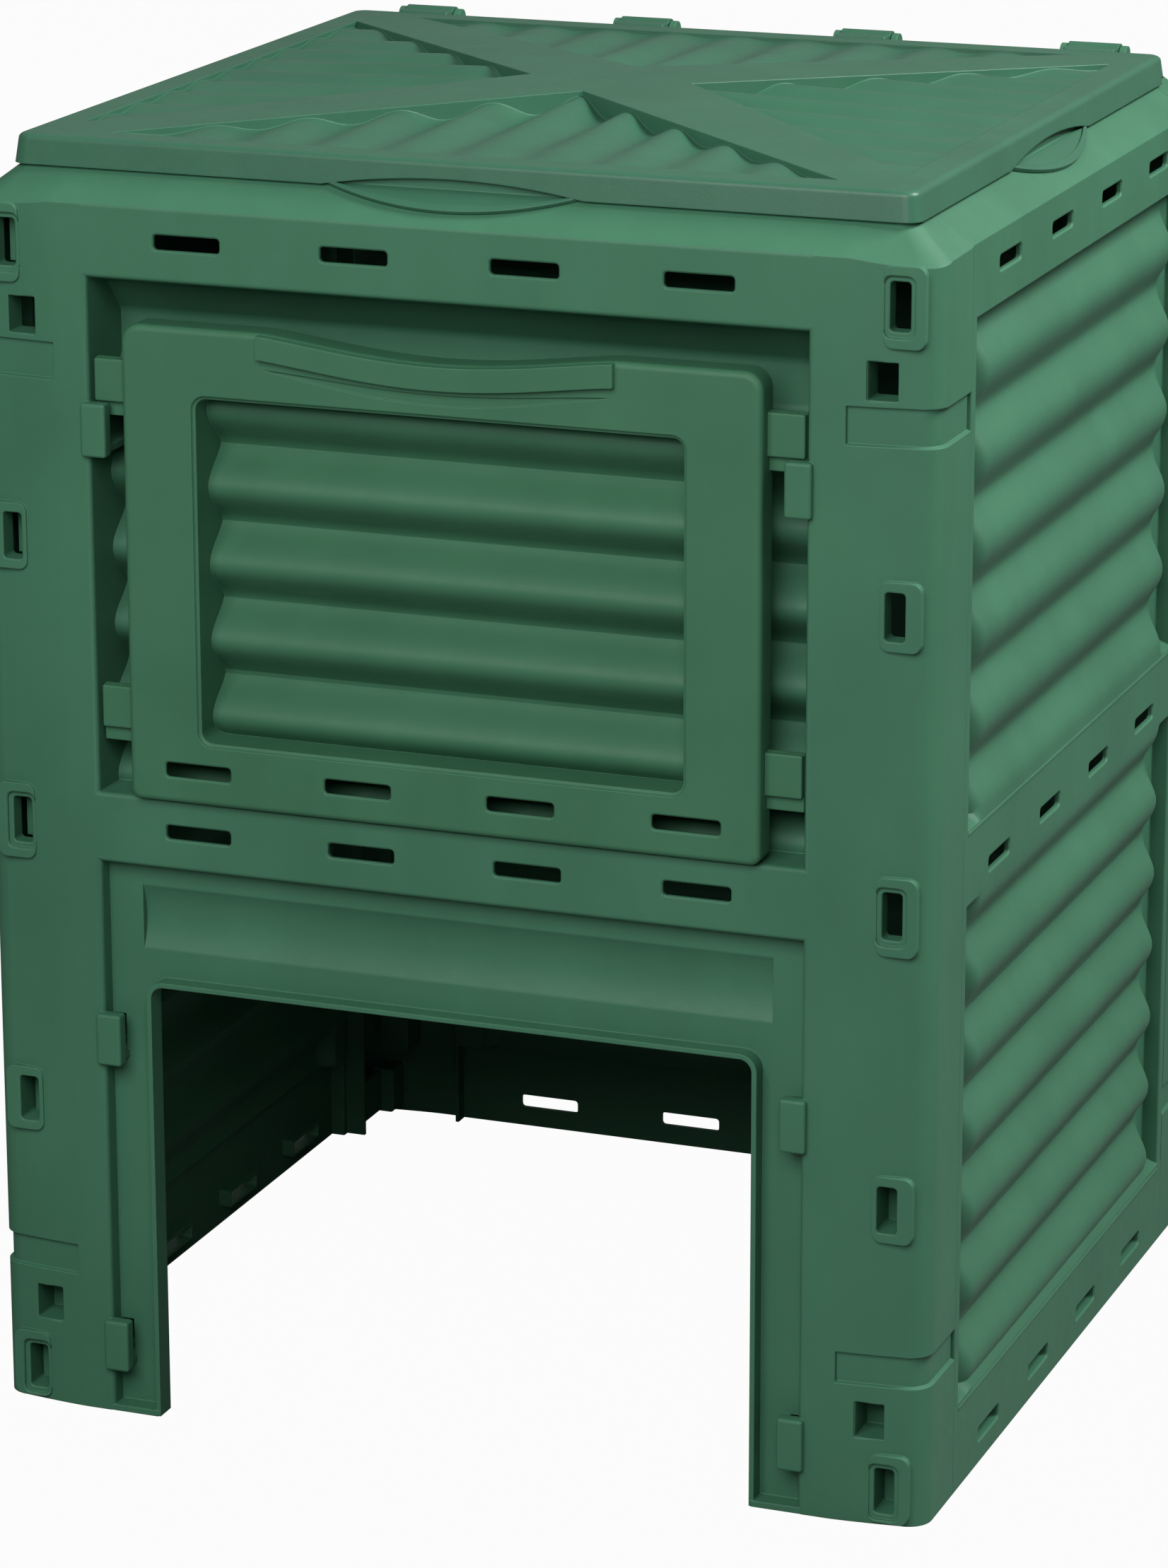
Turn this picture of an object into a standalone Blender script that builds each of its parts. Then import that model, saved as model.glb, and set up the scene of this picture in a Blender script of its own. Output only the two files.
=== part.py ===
# Garden compost bin: four snap-together wall panels, a hinged lid and a lift-off front door
import math

import bmesh
import bpy
from mathutils import Matrix, Vector

# Body sizes in metres
BODY_WIDTH = 0.610
BODY_DEPTH = 0.588
WALL_HEIGHT = 0.768
WALL = 0.0035
GAP = 0.0003

# Sloping shoulder and lip above the walls
SHOULDER_RUN = 0.0255
SHOULDER_RISE = 0.0185
LIP_HEIGHT = 0.0105

# Corner posts moulded on the front and back panels
POST_FACE = 0.0604
POST_TILT = 0.0045
POST_CORNER_R = 0.015
STRIP_WIDTH = 0.0182
SEAM_FLANGE = 0.014

# Strap grooves round the posts
STRAP_DEPTH = 0.0025
STRAP_LOW_Z = 0.088
STRAP_HIGH_Z = 0.660
STRAP_LOW_HEIGHT = 0.020
STRAP_HIGH_HEIGHT = 0.023
STRAP_START = 0.0045
STRAP_DRAFT = 0.0008
POST_FOOT = 0.006

# Slots and holes in the post faces
HOOK_INSET = 0.0250
HOOK_SLOT_WIDTH = 0.0130
HOOK_SLOT_HEIGHT = 0.030
HOOK_SINK_WIDTH = 0.0185
HOOK_SINK_HEIGHT = 0.0345
HOOK_SINK_DEPTH = 0.0022
HOOK_PAD_WIDTH = 0.0245
HOOK_PAD_MARGIN = 0.0065
HOOK_PAD_BACK = 0.0005
HOOK_PAD_FOOT = 0.0018
HOOK_TALL_Z = [0.0215, 0.3816, 0.7415]
HOOK_SMALL_Z = [0.2010, 0.5615]
SQUARE_INSET = 0.0345
SQUARE_WIDTH = 0.0180
SQUARE_HEIGHT = 0.0225
SQUARE_Z = [0.0658, 0.6980]

# Ventilation slots
VENT_COUNT = 4
VENT_PITCH = 0.107
VENT_WIDTH = 0.043
VENT_HEIGHT = 0.0092
VENT_CUT_CORNER = 0.0022
VENT_TOP_Z = 0.748
VENT_MID_Z = 0.3846
VENT_LOW_Z = 0.0184

# Corrugated walls of the sides and the back
WAVE_DEPTH = 0.0112
LOW_BAND_TOP = 0.056
MID_BAND_BOTTOM = 0.371
MID_BAND_TOP = 0.4175
TOP_BAND_BOTTOM = 0.7246
BAND_EASE = 0.0045
LOW_WAVE_FIRST = 0.070
LOW_WAVE_PITCH = 0.0498
UPPER_WAVE_FIRST = 0.423
UPPER_WAVE_PITCH = 0.053
WAVE_STEPS = 6
CHANNEL_WIDTH = 0.016
CREST_RUNOUT = 0.012
RIB_WIDTH = 0.0090

# Front panel recesses
RECESS_DEPTH = 0.0125
RECESS_TOP = 0.7246
FRONT_BAND_BOTTOM = 0.361
FRONT_BAND_TOP = 0.4055
FRONT_WAVE_NEAR = 0.0285
FRONT_WAVE_FAR = 0.048
FRONT_WAVE_FIRST = 0.4095
FRONT_WAVE_PITCH = 0.0475
FRONT_WAVE_COUNT = 5
COVE_HEIGHT = 0.028
COVE_LIP = 0.007
SCOOP_MARGIN = 0.0221
SCOOP_Z = 0.3250
SCOOP_HEIGHT = 0.042
SCOOP_DEPTH = 0.0058

# Lower opening and its rim
OPENING_MARGIN = 0.0312
OPENING_TOP = 0.2838
OPENING_CORNER = 0.008
RIM_WALL = 0.0031
RIM_FRONT_SET_BACK = 0.0010
FOOT_FLANGE = 0.004

# Door hung on moulded clips
DOOR_SIDE_GAP = 0.0249
DOOR_BOTTOM = 0.4060
DOOR_HEIGHT = 0.2935
DOOR_PROUD = 0.0073
DOOR_DEPTH = 0.0195
DOOR_WALL = 0.0026
DOOR_CORNER = 0.012
DOOR_FRAME = 0.0475
DOOR_PANEL_BOTTOM = 0.0392
DOOR_TOP_RAIL = 0.0423
DOOR_PANEL_CORNER = 0.007
DOOR_WAVE_NEAR = 0.0185
DOOR_WAVE_FAR = 0.0385
DOOR_WAVE_FIRST = 0.0510
DOOR_WAVE_PITCH = 0.0475
DOOR_VENT_PITCH = 0.1042
DOOR_VENT_Z = 0.0208
DIP_HALF = 0.112
DIP_DEPTH = 0.010
LIP_BAND = 0.0140
LIP_PROUD = 0.0045
GROOVE_DROP = 0.0040
GROOVE_HEIGHT = 0.0065
GROOVE_DEPTH = 0.0014
TAB_REACH = 0.0228
TAB_FRONT_SET_BACK = 0.0072
TAB_WALL = 0.0040
TAB_HEIGHT = 0.0355
TAB_STEP = 0.0040
TAB_UPPER_Z = 0.2337
TAB_LOWER_Z = 0.0315
CLIP_BITE = 0.0087
CLIP_HEIGHT = 0.0330
CLIP_WIDTH = 0.0164
CLIP_LAP = 0.0040
CLIP_PROUD = 0.0050
CLIP_WALL = 0.0095
CLIP_SHELF = 0.0045
CLIP_HOLE_WIDTH = 0.0085
DOOR_DROP = 0.3845

# Lid
LID_OVERHANG = 0.0050
LID_WALL = 0.0030
LID_REAR_SET_BACK = 0.042
LID_SEAT_GAP = 0.0003
SKIRT_HEIGHT = 0.0142
SKIRT_DRAFT = 0.0020
REAR_SKIRT_CUT = 0.0040
LID_EDGE_RISE = 0.0035
BORDER_WIDTH = 0.0240
CROWN_RISE = 0.0105
LID_CORNER_R = 0.010
BAND_CENTRE_WIDTH = 0.072
BAND_CORNER_WIDTH = 0.043
PANE_DROP = 0.0035
PANE_WAVE = 0.0070
PANE_WALL = 0.0025
PANE_PITCH = 0.045
GRIP_HALF = 0.082
GRIP_ARCH = 0.0050
TONGUE_LENGTH = 0.0170
TONGUE_WALL = 0.0026
TONGUE_GAP = 0.0004

# Lid hinge
HINGE_COUNT = 4
HINGE_PITCH = 0.155
KNUCKLE_WIDTH = 0.034
KNUCKLE_R = 0.0078
HINGE_BAR_R = 0.0035
HINGE_CLEARANCE = 0.0005
HINGE_SET_BACK = 0.0110
HINGE_RISE = 0.0120
LUG_WALL = 0.0045
LUG_SIDE_GAP = 0.0006
LUG_MARGIN = 0.0030
KNUCKLE_MOUTH = math.radians(120)
LEDGE_RUN = 0.0120

# Derived places
HALF_W = BODY_WIDTH / 2
HALF_D = BODY_DEPTH / 2
SEAM_Y = HALF_D - POST_FACE
RECESS_HALF = HALF_W - POST_FACE - STRIP_WIDTH
OPENING_HALF = RECESS_HALF - OPENING_MARGIN
SCOOP_HALF = RECESS_HALF - SCOOP_MARGIN
DOOR_HALF = RECESS_HALF - DOOR_SIDE_GAP
DOOR_PANEL_HALF = DOOR_HALF - DOOR_FRAME
DOOR_PANEL_HEIGHT = DOOR_HEIGHT - DOOR_PANEL_BOTTOM - DOOR_TOP_RAIL
SHOULDER_TOP = WALL_HEIGHT + SHOULDER_RISE
LIP_TOP = SHOULDER_TOP + LIP_HEIGHT
INSET_X = HALF_W - SHOULDER_RUN
INSET_Y = HALF_D - SHOULDER_RUN
LID_HALF_X = INSET_X + LID_OVERHANG
LID_FRONT = -(INSET_Y + LID_OVERHANG)
LID_REAR = HALF_D - LID_REAR_SET_BACK
LID_CENTRE_Y = (LID_FRONT + LID_REAR) / 2
LID_HALF_Y = (LID_REAR - LID_FRONT) / 2
SLOPE = SHOULDER_RISE / SHOULDER_RUN
SEAT_DRAFT = LID_WALL * SKIRT_DRAFT / SKIRT_HEIGHT
SKIRT_BOTTOM = SHOULDER_TOP - (LID_OVERHANG - LID_WALL) * SLOPE + LID_SEAT_GAP + SEAT_DRAFT
SKIRT_TOP = SKIRT_BOTTOM + SKIRT_HEIGHT
BORDER_Z = SKIRT_TOP + LID_EDGE_RISE
CROWN_Z = BORDER_Z + CROWN_RISE
HINGE_Y = LID_REAR + HINGE_SET_BACK
HINGE_Z = SHOULDER_TOP + HINGE_RISE
DOOR_TOP = DOOR_BOTTOM + DOOR_HEIGHT
DOOR_FRONT = -(HALF_D + DOOR_PROUD)
CENTRE_SHIFT = (DOOR_PROUD + LIP_PROUD) / 2

parts_collection = bpy.data.collections.new("compost_bin")


def clear_scene():
    """Remove whatever the scene holds."""
    for item in list(bpy.data.objects):
        bpy.data.objects.remove(item, do_unlink=True)
    bpy.context.scene.collection.children.link(parts_collection)


def plastic(name, colour, roughness):
    """Give a plain moulded plastic material."""
    material = bpy.data.materials.new(name)
    material.use_nodes = True
    shader = material.node_tree.nodes["Principled BSDF"]
    shader.inputs["Base Color"].default_value = (*colour, 1.0)
    shader.inputs["Roughness"].default_value = roughness
    shader.inputs["Metallic"].default_value = 0.0
    return material


def new_object(name, mesh):
    for vert in mesh.vertices if isinstance(mesh, bpy.types.Mesh) else ():
        vert.co = [round(value, 6) for value in vert.co]
    item = bpy.data.objects.new(name, mesh)
    parts_collection.objects.link(item)
    return item


def drop(item):
    mesh = item.data
    bpy.data.objects.remove(item, do_unlink=True)
    if mesh.users == 0:
        bpy.data.meshes.remove(mesh)


def evaluated_mesh(item):
    bpy.context.view_layer.update()
    graph = bpy.context.evaluated_depsgraph_get()
    return bpy.data.meshes.new_from_object(item.evaluated_get(graph))


def bake(item):
    """Turn an object's modifiers into plain mesh data."""
    mesh = evaluated_mesh(item)
    old = item.data
    item.modifiers.clear()
    item.data = mesh
    if old.users == 0:
        bpy.data.meshes.remove(old)
    return item


def box(name, low, high):
    """Cube primitive between two opposite corners."""
    mesh = bpy.data.meshes.new(name)
    shape = bmesh.new()
    centre = [(a + b) / 2 for a, b in zip(low, high)]
    size = [abs(b - a) for a, b in zip(low, high)]
    place = Matrix.Translation(centre) @ Matrix.Diagonal((*size, 1.0))
    bmesh.ops.create_cube(shape, size=1.0, matrix=place)
    shape.to_mesh(mesh)
    shape.free()
    return new_object(name, mesh)


def rod(name, radius, start, end, segments=16):
    """Cylinder primitive between two points."""
    mesh = bpy.data.meshes.new(name)
    shape = bmesh.new()
    start = Vector(start)
    end = Vector(end)
    turn = (end - start).to_track_quat("Z", "Y").to_matrix().to_4x4()
    place = Matrix.Translation((start + end) / 2) @ turn
    bmesh.ops.create_cone(shape, cap_ends=True, segments=segments, radius1=radius, radius2=radius,
                          depth=(end - start).length, matrix=place)
    shape.to_mesh(mesh)
    shape.free()
    return new_object(name, mesh)


PLANES = {
    "XY": Matrix(((1, 0, 0), (0, 1, 0), (0, 0, 1))),
    "XZ": Matrix(((1, 0, 0), (0, 0, -1), (0, 1, 0))),
    "YZ": Matrix(((0, 0, 1), (1, 0, 0), (0, 1, 0))),
}


def prism(name, outlines, plane, low, high):
    """Flat outline, with any inner outlines as holes, given a thickness along the third axis."""
    curve = bpy.data.curves.new(name, "CURVE")
    curve.dimensions = "2D"
    curve.fill_mode = "BOTH"
    curve.extrude = abs(high - low) / 2
    for outline in outlines:
        spline = curve.splines.new("POLY")
        spline.points.add(len(outline) - 1)
        for point, (u, v) in zip(spline.points, outline):
            point.co = (u, v, 0.0, 1.0)
        spline.use_cyclic_u = True
    flat = new_object(name + "_outline", curve)
    turn = PLANES[plane].to_4x4()
    normal_axis = {"XY": 2, "XZ": 1, "YZ": 0}[plane]
    shift = Vector((0.0, 0.0, 0.0))
    shift[normal_axis] = (low + high) / 2
    mesh = evaluated_mesh(flat)
    bpy.data.objects.remove(flat, do_unlink=True)
    bpy.data.curves.remove(curve)
    shape = bmesh.new()
    shape.from_mesh(mesh)
    bmesh.ops.remove_doubles(shape, verts=shape.verts, dist=1e-6)
    bmesh.ops.transform(shape, matrix=Matrix.Translation(shift) @ turn, verts=shape.verts)
    bmesh.ops.recalc_face_normals(shape, faces=shape.faces)
    shape.to_mesh(mesh)
    shape.free()
    return new_object(name, mesh)


def sheet(name, rows, thickness, outward):
    """Grid primitive moved to rows of points, thickened away from the outward side."""
    count_v = len(rows)
    count_u = len(rows[0])
    mesh = bpy.data.meshes.new(name)
    shape = bmesh.new()
    bmesh.ops.create_grid(shape, x_segments=count_u - 1, y_segments=count_v - 1, size=1.0)
    for vert in shape.verts:
        u = round((vert.co.x + 1.0) / 2.0 * (count_u - 1))
        v = round((vert.co.y + 1.0) / 2.0 * (count_v - 1))
        vert.co = rows[v][u]
    total = Vector((0.0, 0.0, 0.0))
    for face in shape.faces:
        face.normal_update()
        total += face.normal * face.calc_area()
    if total.dot(Vector(outward)) < 0.0:
        bmesh.ops.reverse_faces(shape, faces=shape.faces)
    shape.to_mesh(mesh)
    shape.free()
    return thicken(new_object(name, mesh), thickness)


def thicken(item, thickness):
    solid = item.modifiers.new("wall", "SOLIDIFY")
    solid.thickness = thickness
    solid.offset = -1.0
    solid.use_even_offset = True
    bake(item)
    for vert in item.data.vertices:
        vert.co = [round(value, 6) for value in vert.co]
    return item


def boolean(item, tool, operation):
    step = item.modifiers.new(operation.lower(), "BOOLEAN")
    step.operation = operation
    step.solver = "EXACT"
    step.object = tool
    bake(item)
    drop(tool)
    return item


def join(item, *tools):
    for tool in tools:
        boolean(item, tool, "UNION")
    return item


def cut(item, *tools):
    for tool in tools:
        boolean(item, tool, "DIFFERENCE")
    return item


def mirror(item):
    """Keep the half on the +X side and repeat it on the other."""
    half = item.modifiers.new("halves", "MIRROR")
    half.use_axis[0] = True
    half.use_bisect_axis[0] = True
    half.merge_threshold = 1e-5
    return bake(item)


def trim_to_ground(item):
    """Cut every foot level with the ground."""
    return cut(item, box("ground", (-BODY_WIDTH, -BODY_WIDTH, -BODY_WIDTH), (BODY_WIDTH, BODY_WIDTH, 0.0)))


def mirror_copy(item, name):
    """Opposite-handed twin of a finished piece."""
    twin = new_object(name, item.data.copy())
    shape = bmesh.new()
    shape.from_mesh(twin.data)
    bmesh.ops.transform(shape, matrix=Matrix.Diagonal((-1.0, 1.0, 1.0, 1.0)), verts=shape.verts)
    bmesh.ops.reverse_faces(shape, faces=shape.faces)
    shape.to_mesh(twin.data)
    shape.free()
    return twin


def group(name, tools):
    """Collect separate solids that don't touch into one tool."""
    shape = bmesh.new()
    for tool in tools:
        shape.from_mesh(tool.data)
        drop(tool)
    mesh = bpy.data.meshes.new(name)
    shape.to_mesh(mesh)
    shape.free()
    return new_object(name, mesh)


def cut_corner_box(centre_u, centre_v, width, height, corner):
    """Rectangle with its corners cut, as an outline."""
    a = width / 2
    b = height / 2
    c = corner
    raw = [(-a + c, -b), (a - c, -b), (a, -b + c), (a, b - c)]
    raw += [(a - c, b), (-a + c, b), (-a, b - c), (-a, -b + c)]
    return [(centre_u + u, centre_v + v) for u, v in raw]


def arc(centre_u, centre_v, radius, start, end, steps):
    points = []
    for k in range(steps + 1):
        t = start + (end - start) * k / steps
        points.append((centre_u + radius * math.cos(t), centre_v + radius * math.sin(t)))
    return points


def crest(z, first, pitch):
    """Height share of a broad-topped wave, one at a crest and nought in a trough."""
    return (0.5 + 0.5 * math.cos(2 * math.pi * (z - first) / pitch)) ** 0.75


def wave_heights(low, high, pitch):
    steps = max(2, round((high - low) / pitch * WAVE_STEPS))
    return [low + (high - low) * k / steps for k in range(steps + 1)]


def wall_profile():
    """Depth, height and how much of the depth is wave, from the ground to the shoulder."""
    rows = [(0.0, -POST_FOOT * 0.5, 0.0), (0.0, LOW_BAND_TOP, 0.0)]
    for z in wave_heights(LOW_BAND_TOP + BAND_EASE, MID_BAND_BOTTOM - BAND_EASE, LOW_WAVE_PITCH):
        rows.append((None, z, crest(z, LOW_WAVE_FIRST, LOW_WAVE_PITCH)))
    rows += [(0.0, MID_BAND_BOTTOM, 0.0), (0.0, MID_BAND_TOP, 0.0)]
    for z in wave_heights(MID_BAND_TOP + BAND_EASE, TOP_BAND_BOTTOM - BAND_EASE, UPPER_WAVE_PITCH):
        rows.append((None, z, crest(z, UPPER_WAVE_FIRST, UPPER_WAVE_PITCH)))
    rows += [(0.0, TOP_BAND_BOTTOM, 0.0), (0.0, WALL_HEIGHT, 0.0), (SHOULDER_RUN, SHOULDER_TOP, 0.0)]
    return rows


def corrugated_wall(name, half_length, channel_start, place, outward, lip):
    """Banded and waved wall whose crests run out before both of its ends."""
    inner = channel_start - CHANNEL_WIDTH
    stations = [(half_length, 0.0), (inner, 0.0)]
    stations += [(inner - CREST_RUNOUT * 0.45, 0.8), (inner - CREST_RUNOUT, 1.0)]
    stations = [(-u, share) for u, share in stations] + [(u, share) for u, share in reversed(stations)]
    rows = []
    profile = wall_profile()
    if lip:
        profile = profile + [(SHOULDER_RUN, LIP_TOP, 0.0)]
    for depth, z, share in profile:
        row = []
        for u, fullness in stations:
            inward = depth if depth is not None else WAVE_DEPTH * (1.0 - share * fullness)
            row.append(place(u, inward, z))
        rows.append(row)
    return sheet(name, rows, WALL, outward)


def vent_cutters(name, plane, pitch, heights, low, high):
    tools = []
    for z in heights:
        for k in range(VENT_COUNT):
            u = (k - (VENT_COUNT - 1) / 2) * pitch
            outline = cut_corner_box(u, z, VENT_WIDTH, VENT_HEIGHT, VENT_CUT_CORNER)
            tools.append(prism(name, [outline], plane, low, high))
    return group(name, tools)


def post_outline():
    """Plan of a front right post from the recess edge round to the seam, with outward normals."""
    points = [(RECESS_HALF, -HALF_D), (HALF_W - POST_FACE, -HALF_D)]
    face_end = HALF_W - POST_CORNER_R
    face_start = HALF_W - POST_FACE
    edge = face_start + STRAP_START
    span = face_end - face_start
    for x in (edge, edge + STRAP_DRAFT, face_start + span * 0.40, face_start + span * 0.70, face_end):
        t = (x - face_start) / span
        points.append((x, -HALF_D + POST_TILT * t ** 1.4))
    centre = (HALF_W - POST_CORNER_R, -HALF_D + POST_TILT + POST_CORNER_R)
    points += arc(centre[0], centre[1], POST_CORNER_R, -math.pi / 2, 0.0, 5)[1:]
    points.append((HALF_W, -SEAM_Y))
    normals = []
    for k in range(len(points)):
        a = Vector(points[max(0, k - 1)])
        b = Vector(points[min(len(points) - 1, k + 1)])
        along = (b - a).normalized()
        normals.append((along.y, -along.x))
    return points, normals


def shoulder_outline(points):
    """Where each post point goes on the inset line above the shoulder."""
    inner = []
    corner = LID_CORNER_R * 0.8
    for x, y in points:
        nx = min(x - RECESS_HALF, INSET_X - RECESS_HALF) + RECESS_HALF
        ny = max(y, -INSET_Y)
        if x > HALF_W - POST_CORNER_R * 1.02 or y > -HALF_D + POST_TILT * 1.02:
            t = min(1.0, (y + HALF_D - POST_TILT) / POST_CORNER_R)
            angle = -math.pi / 2 + t * math.pi / 2
            nx = INSET_X - corner + corner * math.cos(angle)
            ny = -INSET_Y + corner + corner * math.sin(angle)
            if t >= 1.0:
                ny = max(ny, y)
        else:
            share = (x - RECESS_HALF) / (HALF_W - POST_CORNER_R - RECESS_HALF)
            nx = RECESS_HALF + share * (INSET_X - corner - RECESS_HALF)
            ny = -INSET_Y
        inner.append((nx, ny))
    return inner


def post(front, recess_depth, recess_top, lip):
    """Right-hand corner post with its grooves, shoulder, return walls and seam flange."""
    points, normals = post_outline()
    inner = shoulder_outline(points)

    def at(x, y, z):
        return (x, front * y, z)

    def ring(z, sunk):
        row = []
        for k, ((x, y), (nx, ny)) in enumerate(zip(points, normals)):
            depth = STRAP_DEPTH if sunk and k >= 3 else 0.0
            row.append(at(x - nx * depth, y - ny * depth, z))
        return row

    rows = [ring(-POST_FOOT, False)]
    for low, height in ((STRAP_LOW_Z, STRAP_LOW_HEIGHT), (STRAP_HIGH_Z, STRAP_HIGH_HEIGHT)):
        rows.append(ring(low, False))
        rows.append(ring(low + STRAP_DRAFT, True))
        rows.append(ring(low + height - STRAP_DRAFT, True))
        rows.append(ring(low + height, False))
    rows.append(ring(WALL_HEIGHT, False))
    rows.append([at(x, y, SHOULDER_TOP) for x, y in inner])
    if lip:
        rows.append([at(x, y, LIP_TOP) for x, y in inner])
    item = sheet("post", rows, WALL, (1.0, -front, 0.0))
    wall_low = at(RECESS_HALF, -HALF_D + WALL * 0.4, -POST_FOOT * 0.8)
    wall_high = at(RECESS_HALF + WALL, -HALF_D + recess_depth + WALL * 1.2, recess_top + WALL)
    seam_low = at(HALF_W - SEAM_FLANGE, -SEAM_Y - WALL, -POST_FOOT * 0.6)
    seam_high = at(HALF_W - WALL * 0.4, -SEAM_Y - GAP, WALL_HEIGHT - WALL)
    join(item, box("return", wall_low, wall_high), box("seam", seam_low, seam_high))

    def faced(outline, near, far):
        return prism("slot", [outline], "XZ", -front * (HALF_D - near), -front * (HALF_D - far))

    pads = []
    holes = []
    sinks = []
    x = HALF_W - HOOK_INSET
    pad_x = x + (HOOK_PAD_WIDTH - HOOK_SINK_WIDTH) / 2
    for z in HOOK_TALL_Z + HOOK_SMALL_Z:
        tall = z in HOOK_TALL_Z
        high = (HOOK_SINK_HEIGHT if tall else HOOK_SLOT_HEIGHT) + 2 * HOOK_PAD_MARGIN
        low_z = max(z - high / 2, HOOK_PAD_FOOT)
        high_z = min(z + high / 2, WALL_HEIGHT - HOOK_PAD_FOOT)
        pad = cut_corner_box(pad_x, (low_z + high_z) / 2, HOOK_PAD_WIDTH, high_z - low_z, HOOK_PAD_MARGIN * 0.6)
        pads.append(faced(pad, HOOK_PAD_BACK, POST_TILT + WALL * 0.6))
        hole = cut_corner_box(x, z, HOOK_SLOT_WIDTH, HOOK_SLOT_HEIGHT, VENT_CUT_CORNER)
        holes.append(faced(hole, -WALL, 4 * WALL))
        if tall:
            sink = cut_corner_box(x, z, HOOK_SINK_WIDTH, HOOK_SINK_HEIGHT, VENT_CUT_CORNER * 1.5)
            sinks.append(faced(sink, -WALL, HOOK_PAD_BACK + HOOK_SINK_DEPTH))
    for z in SQUARE_Z:
        hole = cut_corner_box(HALF_W - SQUARE_INSET, z, SQUARE_WIDTH, SQUARE_HEIGHT, VENT_CUT_CORNER * 0.3)
        holes.append(faced(hole, -WALL, 4 * WALL))
    join(item, group("pads", pads))
    cut(item, group("holes", holes), group("sinks", sinks))
    return item


def front_profile():
    """Depth behind the front plane against height, from the ground to the top lip."""
    rows = [(RECESS_DEPTH, -POST_FOOT * 0.5), (RECESS_DEPTH, FRONT_BAND_BOTTOM), (0.0, FRONT_BAND_BOTTOM)]
    rows.append((0.0, FRONT_BAND_TOP))
    swing = FRONT_WAVE_FAR - FRONT_WAVE_NEAR
    last_trough = FRONT_WAVE_FIRST + (FRONT_WAVE_COUNT + 0.5) * FRONT_WAVE_PITCH
    for z in wave_heights(FRONT_BAND_TOP, last_trough, FRONT_WAVE_PITCH):
        rows.append((FRONT_WAVE_FAR - swing * crest(z, FRONT_WAVE_FIRST, FRONT_WAVE_PITCH), z))
    rows += [(FRONT_WAVE_FAR, RECESS_TOP - COVE_HEIGHT), (FRONT_WAVE_NEAR, RECESS_TOP - COVE_LIP)]
    rows += [(0.0, RECESS_TOP), (0.0, WALL_HEIGHT), (SHOULDER_RUN, SHOULDER_TOP), (SHOULDER_RUN, LIP_TOP)]
    return rows


def opening_outline(grow):
    """Arch of the lower opening, grown outward by a given amount."""
    half = OPENING_HALF + grow
    top = OPENING_TOP + grow
    radius = OPENING_CORNER + grow
    points = [(half, 0.0)]
    points += arc(half - radius, top - radius, radius, 0.0, math.pi / 2, 3)
    points += arc(-half + radius, top - radius, radius, math.pi / 2, math.pi, 3)
    points.append((-half, 0.0))
    return points


def clip(top, floor_depth):
    """Moulded clip over the recess edge, with the shelf that carries a door tab."""
    outer = RECESS_HALF + CLIP_LAP
    inner = outer - CLIP_WIDTH
    bottom = top - CLIP_HEIGHT
    front = -HALF_D - CLIP_PROUD
    lip = box("clip", (inner, front, bottom), (outer, front + CLIP_WALL, top))
    edge = lip.modifiers.new("edge", "BEVEL")
    edge.width = CLIP_PROUD * 0.36
    edge.segments = 1
    edge.limit_method = "NONE"
    bake(lip)
    shelf_z = bottom + CLIP_PROUD * 0.4
    shelf = box("shelf", (inner + WALL * 0.5, front + CLIP_WALL * 0.5, shelf_z),
                (RECESS_HALF + WALL * 0.7, -HALF_D + floor_depth + WALL * 0.6, shelf_z + CLIP_SHELF))
    return lip, shelf


def clip_tops():
    """Clip heights, taken from where the door's tabs hang."""
    upper_tab = DOOR_BOTTOM + TAB_UPPER_Z
    lower_tab = DOOR_BOTTOM + TAB_LOWER_Z
    return [upper_tab + CLIP_BITE, upper_tab - DOOR_DROP + CLIP_BITE, lower_tab - DOOR_DROP + CLIP_BITE]


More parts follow.
